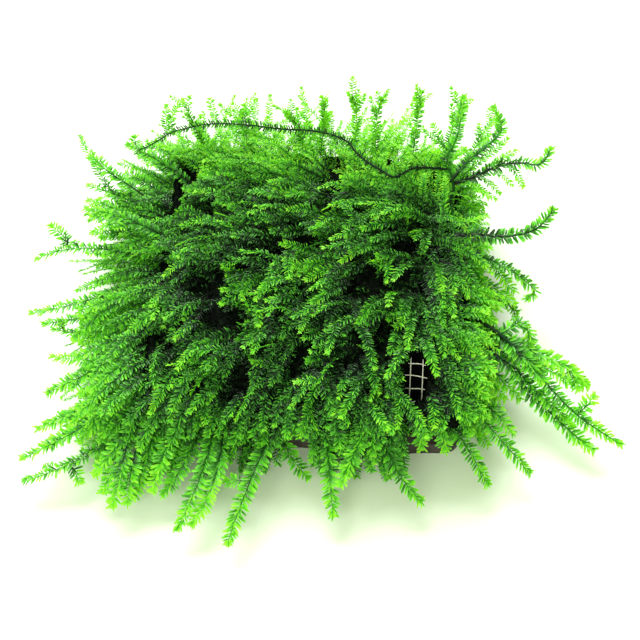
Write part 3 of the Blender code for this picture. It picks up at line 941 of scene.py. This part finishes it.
def on_core(point, share, height):
    """A place on the core's lumpy outside."""
    spot = Vector((point.x * share, point.y * share, height))
    lump = sum(size * noise.noise(spot / width) for size, width in CORE_LUMPS)
    spot += Vector((point.x, point.y, 0)).normalized() * lump * min(1, share)
    spot.z += 0.5 * lump if height > LUMPS_RAISED_FROM else 0
    return spot


def build_core():
    """The matted heart of the cushion, painted near black as shade, open at the bare patch."""
    rings = [(above_wood, share) for share in CORE_UNDERSIDE]
    for step in range(CORE_SIDE_STEPS + 1):
        angle = math.radians(CORE_BULGE_TURN) * (2 * step / CORE_SIDE_STEPS - 1)
        share = CORE_SIDE_SHARE + CORE_BULGE * math.cos(angle)
        rings.append((on_core, share, CORE_MIDDLE + CORE_HALF_HEIGHT * math.sin(angle)))
    for step in range(1, CORE_TOP_STEPS):
        share = CORE_TOP_SHARE * (1 - step / CORE_TOP_STEPS)
        height = CUSHION_TOP - (CUSHION_TOP - CORE_RIM) * share**4 - CORE_DEPTH
        rings.append((on_core, share, height))
    core = mesh_object("matted_core", ringed(slab_outline(), rings), core_material())
    opening = mesh_object("opening", patch_opening())
    cut = core.modifiers.new("Opening", "BOOLEAN")
    cut.object = opening
    cut.operation = "DIFFERENCE"
    core.data = plain_mesh(core)
    bpy.data.objects.remove(opening, do_unlink=True)
    place_piece(core, "moss_mat", "moss_mat")


def patch_opening():
    shape = bmesh.new()
    bmesh.ops.create_cone(shape, cap_ends=True, segments=24, radius1=1, radius2=1, depth=30)
    turn = Matrix.Rotation(BARE_TILT, 4, "X")
    for corner in shape.verts:
        ragged = 1 + 0.25 * noise.noise(Vector((corner.co.x, corner.co.y, 0)) * 2)
        corner.co.x *= BARE_WIDTH / 2 * ragged
        corner.co.y *= BARE_LENGTH / 2 * ragged
    shape.transform(Matrix.Scale(MM, 4) @ Matrix.Translation(BARE_PATCH) @ turn)
    return shape


# Leaf models


def leaf_mesh():
    """An empty shape, and the layer that holds how near the margin each corner is."""
    shape = bmesh.new()
    return shape, shape.verts.layers.float.new("margin")


def add_faces(shape, faces, side):
    """Adds faces with their fronts up, also on the leaf's left side."""
    for corners in faces:
        shape.faces.new(corners if side > 0 else corners[::-1])


def add_leaf(shape, rim, place, width, fold, curl):
    """One blunt leaf, a unit long: folded along its midrib and curled towards its tip."""

    def corner(x, y, margin):
        height = fold * abs(x) / width - curl * y * y
        made = shape.verts.new(place @ Vector((x, y, height)))
        made[rim] = margin
        return made

    # The margin value of each corner: the base darkest, as painted shade between leaves; the edges and
    # tip palest, with painted sheen.
    base, middle, tip = corner(0, 0, 0.0), corner(0, 0.56, 0.15), corner(0, 1, 0.9)
    for side in (-1, 1):
        low = corner(side * width * 0.86, 0.3, 0.3)
        high = corner(side * width * 0.86, 0.82, 1.0)
        add_faces(shape, ((base, low, middle), (low, high, middle), (high, tip, middle)), side)


def leaf_model(name, half_width):
    shape, rim = leaf_mesh()
    add_leaf(shape, rim, Matrix(), half_width, LEAF_FOLD, LEAF_CURL)
    return mesh_object(name, shape)


def simple_leaf_model(name, half_width):
    """A leaf of four faces, for stem backs and for the shoots deep in the cushion."""
    shape, rim = leaf_mesh()
    # Margin values: a dark base as painted shade between leaves, pale edges and tip with painted sheen.
    base = shape.verts.new((0, 0, 0))
    tip = shape.verts.new((0, 1, -0.12))
    tip[rim] = 0.8
    for side in (-1, 1):
        low = shape.verts.new((side * half_width, 0.3, 0.06))
        high = shape.verts.new((side * half_width, 0.8, 0.0))
        low[rim], high[rim] = 0.35, 1.0
        add_faces(shape, ((base, low, high), (base, high, tip)), side)
    return mesh_object(name, shape)


def bud_model(name):
    """A shoot's blunt end: three short leaves fanned about the tip."""
    shape, rim = leaf_mesh()
    for number, (turn, length) in enumerate(((0, 1.0), (30, 0.95), (-30, 0.95))):
        place = Matrix.Rotation(math.radians(turn), 4, "Z") @ Matrix.Scale(length, 4)
        place = place @ Matrix.Rotation(math.radians(8 + 9 * number), 4, "X")
        add_leaf(shape, rim, place, BUD_HALF_WIDTH, BUD_FOLD, BUD_CURL)
    return mesh_object(name, shape)


# Leafy shoots

POINT_VALUES = ("glow", "tone", "size", "bare", "roll", "fade", "stout", "bark")
SHOOT_SIZES = ("Leaf Spacing", "Leaf Length", "Bud Length", "Stem Radius", "Spread Angle")
SHOOT_SHARES = ("Back Leaves", "Stem Glow")
SHOOT_MODELS = ("Side Leaf", "Back Leaf", "Bud")
SHOOT_FINISHES = ("Leaf Finish", "Stem Finish")


class ShootMaker(NodeMaker):
    """Nodes that turn each path into a stem with two rows of leaves, a back row and a bud."""

    def __init__(self, tree, given):
        super().__init__(tree)
        self.given = given
        path = self.add("GeometryNodeMeshToCurve", {"Mesh": given["Geometry"]})
        values = {"Curve": path, "Length": given["Leaf Spacing"]}
        path = self.add("GeometryNodeResampleCurve", values, mode="LENGTH")
        path = self.add("GeometryNodeSetCurveNormal", {"Curve": path}, mode="Z_UP")
        self.along = self.add("GeometryNodeSplineParameter", output="Factor")
        self.point = {name: self.attribute(name) for name in POINT_VALUES}
        self.path = self.shaded(path)
        self.leafy = self.math("GREATER_THAN", self.along, self.point["bare"])
        self.set_frond_axes()

    def jitter(self, low, high, salt):
        """A random value for each point. Each use has a salt of its own."""
        seed = self.math("ADD", self.given["Seed"], float(salt))
        values = {"Min": low, "Max": high, "Seed": seed}
        return self.add("FunctionNodeRandomValue", values, data_type="FLOAT")

    def shaded(self, path):
        """Stores how bright the side leaves are, and the darker old stem with its back leaves."""
        along, point = self.along, self.point
        age = self.math("SUBTRACT", 1.0, self.math("POWER", along, 1.5))
        lasting = self.math("SUBTRACT", 1.0, self.times(point["fade"], age))
        shade = self.line(point["glow"], lasting, point["tone"])
        fresh = self.line(self.math("POWER", along, 5.0), FRESH_TIP, shade)
        young = self.line(along, YOUNG_STEM, self.given["Stem Glow"])
        bark = self.times(point["bark"], self.line(along, BARK_AT_TIP - 1, 1.0))
        spine = self.times(point["glow"], young, self.line(bark, -BARK_DARKNESS, 1.0))
        return self.stored(self.stored(path, "shade", fresh), "spine", spine)

    def set_frond_axes(self):
        """The frond's own directions: along its stem, across it, and out of its face."""
        self.ahead = self.add("GeometryNodeInputTangent")
        normal = self.add("GeometryNodeInputNormal")
        values = {"Vector": normal, "Axis": self.ahead, "Angle": self.point["roll"]}
        self.across = self.add("ShaderNodeVectorRotate", values, rotation_type="AXIS_ANGLE")
        up = self.vector("CROSS_PRODUCT", self.across, self.ahead)
        lift = self.math("ADD", self.axis(up, "Z"), 0.0001)
        self.up = self.scaled(up, self.math("SIGN", lift))

    def side_row(self, row, side):
        """Leaves spread to one side of the stem."""
        closing = self.line(self.math("POWER", self.along, 6.0), -0.4, 1.0)
        angle = self.times(self.given["Spread Angle"], closing)
        angle = self.math("ADD", angle, self.jitter(*SIDE_ANGLES, 1 + row))
        forward = self.scaled(self.ahead, self.math("COSINE", angle))
        outward = self.scaled(self.across, self.times(self.math("SINE", angle), side))
        raised = self.scaled(self.up, self.jitter(*SIDE_LIFTS, 3 + row))
        pointing = self.summed(forward, outward, raised)
        length = self.times(self.point["size"], self.leaf_growth())
        length = self.times(self.given["Leaf Length"], length, self.jitter(*SIDE_LENGTHS, 5 + row))
        share = self.jitter(0.5 * row - 0.2, 0.5 * row + 0.2, 17 + row)
        step = self.scaled(self.ahead, self.times(self.given["Leaf Spacing"], share))
        path = self.add("GeometryNodeSetPosition", {"Geometry": self.path, "Offset": step})
        return self.instances(path, self.leafy, "Side Leaf", pointing, length, "shade", 7 + row)

    def leaf_growth(self):
        """Leaves are short at the root, full along the stem and short again near the tip."""
        values = {"Value": self.along, "To Min": 0.7, "From Max": 0.25}
        start = self.add("ShaderNodeMapRange", values)
        values = {"Value": self.along, "From Min": 0.82, "To Min": 1.0, "To Max": 0.75}
        return self.times(start, self.add("ShaderNodeMapRange", values))

    def back_row(self, row, side):
        """Leaves lying forward along one side of the stem's upper face."""
        sway = self.scaled(self.across, self.jitter(*(sway * side for sway in BACK_SWAY), 11 + row))
        raised = self.scaled(self.up, self.jitter(*BACK_LIFTS, 13 + row))
        pointing = self.summed(self.ahead, sway, raised)
        length = self.times(self.given["Leaf Length"], self.point["size"])
        length = self.times(length, self.jitter(*BACK_LENGTHS, 15 + row))
        kept = self.math("LESS_THAN", self.jitter(0.0, 1.0, 25 + row), self.given["Back Leaves"])
        chosen = self.times(self.leafy, kept)
        return self.instances(self.path, chosen, "Back Leaf", pointing, length, "spine", 23 + row)

    def tip_bud(self):
        ends = self.add("GeometryNodeCurveEndpointSelection", {"Start Size": 0, "End Size": 1})
        length = self.times(self.given["Bud Length"], self.point["size"])
        length = self.times(length, self.jitter(*SIDE_LENGTHS, 21))
        return self.instances(self.path, ends, "Bud", self.ahead, length, "shade", 22)

    def instances(self, path, chosen, model, pointing, length, tint, salt):
        """A model on each chosen point, with a shade of its own."""
        values = {"Object": self.given[model], "As Instance": True}
        shape = self.add("GeometryNodeObjectInfo", values, "Geometry")
        values = {"Primary Axis": pointing, "Secondary Axis": self.up}
        turned = self.add("FunctionNodeAxesToRotation", values, primary_axis="Y", secondary_axis="Z")
        values = {"Points": path, "Selection": chosen, "Instance": shape, "Rotation": turned}
        values["Scale"] = self.combined(X=length, Y=length, Z=length)
        placed = self.add("GeometryNodeInstanceOnPoints", values)
        shade = self.math("ADD", self.attribute(tint), self.jitter(*LEAF_SHADES, salt))
        return self.stored(placed, "shade", shade, domain="INSTANCE")

    def stem(self):
        ring = self.add("GeometryNodeCurvePrimitiveCircle", {"Resolution": 3, "Radius": 1.0})
        thick = self.times(self.point["stout"], self.point["size"])
        taper = self.times(self.line(self.along, -0.5, 1.0), thick)
        radius = self.times(self.given["Stem Radius"], taper)
        path = self.stored(self.path, "shade", self.attribute("spine"))
        values = {"Curve": path, "Profile Curve": ring, "Scale": radius, "Fill Caps": True}
        return self.stored(self.add("GeometryNodeCurveToMesh", values), "is_stem", 1.0)


def leafy_shoot_tree():
    """The tree for shoots. OFBake holds how near the margin, and how bright, each corner is."""
    kinds = {**dict.fromkeys(SHOOT_SIZES + SHOOT_SHARES, "Float"), "Seed": "Int"}
    kinds.update(dict.fromkeys(SHOOT_MODELS, "Object"))
    kinds.update(dict.fromkeys(SHOOT_FINISHES, "Material"))
    tree, given = geometry_tree("Leafy shoots", kinds)
    make = ShootMaker(tree, given)
    sides = ((0, -1.0), (1, 1.0))
    parts = [make.side_row(*side) for side in sides] + [make.back_row(*side) for side in sides]
    parts += [make.tip_bud(), make.stem()]
    margin = make.line(make.attribute("margin"), 0.9, 0.05)
    tint = make.math("ADD", make.attribute("shade"), 0.0, clamp=True)
    place = make.combined(X=margin, Y=tint)
    solid = make.stored(make.joined(parts), "OFBake", place, domain="CORNER", kind="FLOAT2")
    solid = make.material(solid, given["Leaf Finish"])
    is_stem = make.math("GREATER_THAN", make.attribute("is_stem"), 0.5)
    return make.end(make.material(solid, given["Stem Finish"], is_stem))


class Shoot:
    """One shoot's path in millimetres, with how bright, large, bare, turned and thick it is."""

    def __init__(self, points, glow, **others):
        self.points = points
        self.values = {"tone": 0, "size": 1, "bare": 0, "roll": 0, "fade": 0.8, "stout": 1, "bark": 0}
        self.values.update(others, glow=glow)

    def side(self):
        return nearest_side(self.points[0])


def paths_mesh(name, shoots):
    """The shoots' paths as one mesh of open lines, with each shoot's values on its points."""
    mesh = bpy.data.meshes.new(name)
    points, edges = [], []
    for shoot in shoots:
        first = len(points)
        points += [point * MM for point in shoot.points]
        edges += [(index, index + 1) for index in range(first, len(points) - 1)]
    mesh.from_pydata(points, edges, [])
    for value in POINT_VALUES:
        layer = mesh.attributes.new(value, "FLOAT", "POINT")
        layer.data.foreach_set("value", [float(s.values[value]) for s in shoots for _ in s.points])
    return mesh


# Where shoots may lie


def nearest_side(spot):
    across, along = spot.x / CUSHION_HALF_WIDTH, spot.y / CUSHION_HALF_DEPTH
    if abs(across) > abs(along):
        return "right" if across > 0 else "left"
    return "back" if along > 0 else "front"


def hides_patch(spot):
    """Whether a stem here would cover the bare patch, which slants towards the front."""
    local = Matrix.Rotation(-BARE_TILT, 3, "X") @ (spot - BARE_PATCH)
    across = local.x / (BARE_WIDTH / 2 + BARE_MARGIN)
    along = local.y / (BARE_LENGTH / 2 + BARE_MARGIN)
    return across * across + along * along < 1 and local.z > -BARE_DEPTH


def hides_wood(spot):
    """Whether a stem here would cover the driftwood that shows below the front moss."""
    before = -SLAB_DEPTH / 2 - spot.y
    above_sight = spot.z - before * math.tan(math.radians(CAMERA_ELEVATION))
    if before < -3 or above_sight < -2:
        return False
    return any(low < spot.x < high and above_sight < top for low, high, top in BARE_WOOD)


def in_hollow(spot):
    """Whether a place near the moss's surface lies in a hollow."""
    surface = cushion_top(spot.x, spot.y)
    if spot.z < surface - HOLLOW_DEPTH or cushion_share(spot.x, spot.y) > HOLLOWS_END:
        return False
    return any(math.hypot((spot.x - x) / wide, (spot.y - y) / deep) < 1 for x, y, wide, deep in HOLLOWS)


def clear_part(points):
    """The longest stretch of a path that hides no hollow, bare patch or bare wood."""
    stretch, best = [], []
    for point in points:
        hides = hides_patch(point) or hides_wood(point) or in_hollow(point)
        stretch = [] if hides else stretch + [point]
        best = stretch if len(stretch) > len(best) else best
    return best if len(best) >= FEWEST_POINTS else []


def past_rim(spot):
    """How far a place stands out past the cushion's rim."""
    share = cushion_share(spot.x, spot.y)
    return (1 - 1 / share) * Vector((spot.x, spot.y)).length if share > 1 else 0


def corner_share(across, along, ranges):
    """0 outside a corner of the mat, rising to 1 well inside it."""
    return smooth(across, *ranges[0]) * smooth(along, *ranges[1])


def overhang(spot):
    """How much more the moss hangs out at the front left corner, and less at the back right."""
    front_left = smooth(-spot.x, *LONG_CORNER) if nearest_side(spot) == "front" else 0
    back_right = corner_share(spot.x, spot.y, SHORT_CORNER)
    return 1 + LONG_CORNER_GAIN * front_left - SHORT_CORNER_LOSS * back_right


def within_reach(points, chance):
    """A path cut where it leaves the fringe of its side of the mat."""
    end = points[-1]
    reach = HANGING[nearest_side(end)][-1] * overhang(end) * chance.uniform(*REACHES)
    return [point for point in points if past_rim(point) < reach]


def fringe(spot):
    """0 over the cushion, rising to 1 at its rim, where the moss is brighter with painted backlight."""
    outward = {"left": -spot.x, "right": spot.x, "front": -spot.y, "back": spot.y}
    return max(smooth(outward[side], *FRINGE[side]) for side in FRINGE)


# Short shoots


def combed(x, y):
    """Which way the moss lies at a place: combed from one corner, and outwards at the rim."""
    place = Vector((x, y))
    along, outward = (place - COMBED_FROM).normalized(), (place - SPREAD_FROM).normalized()
    lying = along.lerp(outward, smooth(cushion_share(x, y), 0.5, 1.0))
    swirl = SWIRL * noise.noise(Vector((x, y, 40)) / SWIRL_SIZE)
    return math.atan2(lying.y, lying.x) + swirl


def lying_path(start, angle, length, turn, sink, lift):
    """A path that leaves the cushion at a root and follows its surface, tip raised."""
    behind, sag = 0.35, 0.8
    points, spot = [], Vector(start) - heading(angle) * length * behind
    for step in range(SHOOT_STEPS + 1):
        along = step / SHOOT_STEPS
        height = cushion_top(spot.x, spot.y) - sink + (sink + lift) * smooth(along, 0, 0.8)
        points.append(Vector((spot.x, spot.y, max(height - sag * along**4, LOWEST_LEAF))))
        spot += heading(angle + turn * along) * length / SHOOT_STEPS
    return points


def drooping_path(start, angle, length, climb, droop):
    ahead = Vector((*heading(angle), 0))
    points = []
    for step in range(SHOOT_STEPS + 1):
        along = step / SHOOT_STEPS
        spot = start + ahead * length * along
        spot.z = max(spot.z + length * (climb * along - droop * along * along), LOWEST_LEAF)
        points.append(spot)
    return points


def add_shoot(shoots, points, chance, glow):
    """Adds what is clear of a shoot, brighter towards the fringe with painted backlight."""
    points = clear_part(within_reach(points, chance))
    if not points:
        return
    tip = points[-1]
    outer = fringe(tip)
    # Painted backlight: the fringe, brightest at the back edge, is lit up as if from behind.
    brightest = FRINGE_GLOW + BACK_EDGE_GLOW * smooth(tip.y, 30, 44)
    glow += BACK_RIGHT_GLOW * corner_share(tip.x, tip.y, BACK_RIGHT_LIGHT)
    glow += FRONT_LEFT_GLOW * corner_share(-tip.x, -tip.y, FRONT_LEFT_LIGHT)
    glow += (brightest - glow) * outer + RIGHTWARD_GLOW * tip.x / CUSHION_HALF_WIDTH
    look = {
        "tone": chance.uniform(*TONES),
        "size": chance.uniform(*SIZES) - BACK_SIZE_LOSS * smooth(tip.y, 20, 40),
        "roll": chance.gauss(0, ROLLS_STRAY),
        "fade": ROOT_FADE - FRINGE_FADE_LOSS * outer - BACK_FADE_LOSS * smooth(tip.y, 25, 40),
    }
    shoots.append(Shoot(points, glow, **look))


def layer_of_shoots(chance, spacing, lengths, sink, lifts, glows, kept):
    """Shoots rooted on an uneven grid over the cushion, at one depth."""
    shoots = []
    between_rows = spacing * ROW_SPACING
    for row in range(int(2 * CUSHION_HALF_DEPTH / between_rows)):
        for column in range(int(2 * CUSHION_HALF_WIDTH / spacing)):
            x = -CUSHION_HALF_WIDTH + (column + 0.5 + 0.5 * (row % 2)) * spacing
            y = -CUSHION_HALF_DEPTH + (row + 0.5) * between_rows
            x += chance.uniform(-PLACES_STRAY, PLACES_STRAY) * spacing
            y += chance.uniform(-PLACES_STRAY, PLACES_STRAY) * spacing
            if cushion_share(x, y) > 0.98 or chance.random() > kept:
                continue
            angle = combed(x, y) + chance.gauss(0, HEADINGS_STRAY) + chance.choice(STRAY_TURNS)
            turn = chance.uniform(*BENDS)
            length, lift = chance.uniform(*lengths), chance.uniform(*lifts)
            points = lying_path((x, y), angle, length, turn, sink, lift)
            add_shoot(shoots, points, chance, chance.uniform(*glows))
    return shoots


def rim_place(turn):
    """X and Y of a place just inside the cushion's rim, a share of the way round it."""
    side, along = divmod(turn * 4, 1)
    across = 2 * along - 1
    u, v = ((1, across), (-across, 1), (-1, -across), (across, -1))[int(side) % 4]
    rounding = squared_off(u, v)
    half_width, half_depth = CUSHION_HALF_WIDTH - RIM_INSET, CUSHION_HALF_DEPTH - RIM_INSET
    return half_width * u / rounding, half_depth * v / rounding


def rim_shoots(chance):
    """Shoots out of the cushion's sides, in tiers, drooping as they leave it."""
    shoots = []
    for tier, height in enumerate(RIM_TIERS):
        for number in range(RIM_PLACES):
            turn = (number + 0.5 * (tier % 2) + chance.uniform(-0.3, 0.3)) / RIM_PLACES
            start = Vector((*rim_place(turn), height))
            lengths, climb, droop, spread, _reach = HANGING[nearest_side(start)]
            outward = start.xy - SPREAD_FROM
            angle = math.atan2(outward.y, outward.x) + chance.gauss(0, spread)
            length = chance.uniform(*lengths) * overhang(start)
            climbing = chance.uniform(*climb) * (RIM_CLIMB[0] + RIM_CLIMB[1] * tier)
            points = drooping_path(start, angle, length, climbing, chance.uniform(*droop))
            add_shoot(shoots, points, chance, RIM_GLOW[0] + RIM_GLOW[1] * tier)
    return shoots


# Long shoots


def bowed(root, middle, tip, first=0.0):
    """Points along the rounded arch from a root through a middle to a tip."""
    start, top, end = Vector(root), Vector(middle), Vector(tip)
    bow = top - (start + end) / 2
    points = []
    for step in range(SHOOT_STEPS * 2 + 1):
        along = first + (1 - first) * step / (SHOOT_STEPS * 2)
        points.append(start.lerp(end, along) + bow * 4 * along * (1 - along))
    return points


def rounded(route):
    """A smooth path through a route's places."""
    spots = [Vector(spot) for spot in route]
    spots = [2 * spots[0] - spots[1]] + spots + [2 * spots[-1] - spots[-2]]
    points = [spots[1]]
    for before, first, second, after in zip(spots, spots[1:], spots[2:], spots[3:]):
        for step in range(1, 6):
            t = step / 5
            bend = (2 * before - 5 * first + 4 * second - after) * t * t
            bend += (3 * first - before - 3 * second + after) * t**3
            points.append(0.5 * (2 * first + (second - before) * t + bend))
    return points


def sprigs(points, chance, number):
    """Short side shoots off a long one."""
    paths = []
    for _ in range(number):
        place = round(len(points) * chance.uniform(*SPRIG_PLACES))
        root = points[place]
        ahead = (root - points[place - 1]).normalized()
        turn = math.radians(chance.uniform(*SPRIG_TURNS)) * chance.choice((-1, 1))
        tip = root + Matrix.Rotation(turn, 3, "Z") @ ahead * chance.uniform(*SPRIG_LENGTHS)
        tip.z = max(tip.z, LOWEST_LEAF)
        middle = (root + tip) / 2 + Vector((0, 0, chance.uniform(*SPRIG_BOWS)))
        paths.append(bowed(root, middle, tip))
    return paths


def long_shoots(side, chance):
    """The long shoots of one side, with their short side shoots, and the branches there."""
    shoots = []
    size = LONG_SHOOT_SIZE[side]
    for row, route in enumerate(LONG_SHOOTS[side]):
        winding = len(route) > 3
        look = {**LONG_SHOOT_LOOK, "size": size, "roll": chance.gauss(0, LONG_ROLLS_STRAY)}
        look.update(OWN_LOOKS.get((side, row), {}), tone=chance.uniform(*LONG_TONES))
        points = rounded(route) if winding else bowed(*route, first=-LONG_SHOOT_ROOT)
        shoots.append(Shoot(points[:-1], **look))
        for sprig in sprigs(points, chance, 0 if winding else SPRIGS[side]):
            shoots.append(Shoot(sprig, size=size * SPRIG_SIZE, **SPRIG_LOOK))
    for bare, stout, glow, *route in BRANCHES[side]:
        bark = BRANCH_BARK * smooth(stout, 1, 2)
        look = {"size": size * (1 + BARK_GAIN * bark), "fade": BRANCH_FADE}
        look.update(bare=bare, stout=stout, bark=bark)
        shoots.append(Shoot(rounded(route), glow, **look))
    return shoots


# Moss pieces


def leaf_models():
    models = {name: leaf_model(f"{name}_leaf", width) for name, width in HALF_WIDTHS.items()}
    models["simple"] = simple_leaf_model("simple_leaf", HALF_WIDTHS["slim"])
    models["bud"] = bud_model("bud")
    return models


def shoot_styles(models):
    """The shoot tree's inputs for each style."""
    shared = {"Stem Radius": STEM_RADIUS * MM, "Bud": models["bud"]}
    shared.update({"Leaf Finish": leaf_material(), "Stem Finish": stem_material()})
    styles = {}
    for name, (spacing, length, bud, angle, share, glow, side_leaf, back_leaf) in STYLES.items():
        sizes = {"Leaf Spacing": spacing * MM, "Leaf Length": length * MM, "Bud Length": bud * MM}
        looks = {"Spread Angle": math.radians(angle), "Back Leaves": share, "Stem Glow": glow}
        leaves = {"Side Leaf": models[side_leaf], "Back Leaf": models[back_leaf]}
        styles[name] = {**shared, **sizes, **looks, **leaves}
    return styles


def build_shoots():
    chance = random.Random(PATH_SEED)
    models = leaf_models()
    styles = shoot_styles(models)
    tree = leafy_shoot_tree()
    edge_style = {side: "upright" if side == "back" else "hanging" for side in LONG_SHOOTS}
    layers = {name: layer_of_shoots(chance, *values) for name, values in LAYERS.items()}
    rims = rim_shoots(chance)
    beds = {"under_moss": (layers["under"], "deep"), "crest_moss": (layers["crest"], "lying")}
    for side in LONG_SHOOTS:
        beds[f"{side}_bed"] = ([s for s in layers["middle"] if s.side() == side], "lying")
        beds[f"{side}_fringe"] = ([s for s in rims if s.side() == side], edge_style[side])
    for number, (name, (shoots, style)) in enumerate(beds.items()):
        values = {**styles[style], "Seed": BED_SEED + number * SEED_STEP}
        piece = grown(name, paths_mesh(name, shoots), tree, values)
        place_piece(piece, "moss_mat" if name == "under_moss" else "moss_shoot")
    for number, side in enumerate(LONG_SHOOTS):
        name = f"{side}_long_shoots"
        values = {**styles[edge_style[side]], "Seed": LONG_SHOOT_SEED + number * SEED_STEP}
        piece = grown(name, paths_mesh(name, long_shoots(side, chance)), tree, values)
        nodes = [f"{side}_shoot_{index + 1}" for index in range(len(LONG_SHOOTS[side]))]
        place_piece(piece, "moss_shoot", *nodes)
    for model in models.values():
        bpy.data.objects.remove(model, do_unlink=True)


# Stage


def build_camera():
    data = bpy.data.cameras.new("camera")
    data.lens = CAMERA_LENS
    data.sensor_width = CAMERA_SENSOR
    data.clip_start = 10 * MM
    azimuth, elevation = math.radians(CAMERA_AZIMUTH), math.radians(CAMERA_ELEVATION)
    back = Vector((math.sin(azimuth), -math.cos(azimuth), 0)) * math.cos(elevation)
    back.z = math.sin(elevation)
    camera = add_object("camera", data)
    camera.location = (CAMERA_TARGET + back * CAMERA_DISTANCE) * MM
    camera.rotation_euler = (-back).to_track_quat("-Z", "Y").to_euler()
    bpy.context.scene.camera = camera


def build_lamp(name, place, size, energy, colour):
    data = bpy.data.lights.new(name, "AREA")
    data.color = colour
    data.size = size * MM
    data.energy = energy
    lamp = add_object(name, data)
    lamp.location = Vector(place) * MM
    lamp.rotation_euler = (LAMPS_AIM - Vector(place)).to_track_quat("-Z", "Y").to_euler()


def build_stage():
    shape = bmesh.new()
    bmesh.ops.create_grid(shape, x_segments=1, y_segments=1, size=FLOOR_SIZE * MM)
    found, make = new_material("white_floor")
    make.surface(Base_Color=FLOOR_COLOUR, Roughness=0.7)
    floor = mesh_object("floor", shape, found)
    world = bpy.data.worlds.new("studio")
    world.use_nodes = True
    sky = world.node_tree.nodes["Background"]
    sky.inputs["Color"].default_value = SKY_COLOUR
    sky.inputs["Strength"].default_value = SKY_STRENGTH
    bpy.context.scene.world = world
    for name, values in LAMPS.items():
        build_lamp(name, *values)
    bpy.context.scene.view_settings.view_transform = "Standard"


build_camera()
build_driftwood()
build_woven_mesh()
build_core()
build_shoots()
build_stage()
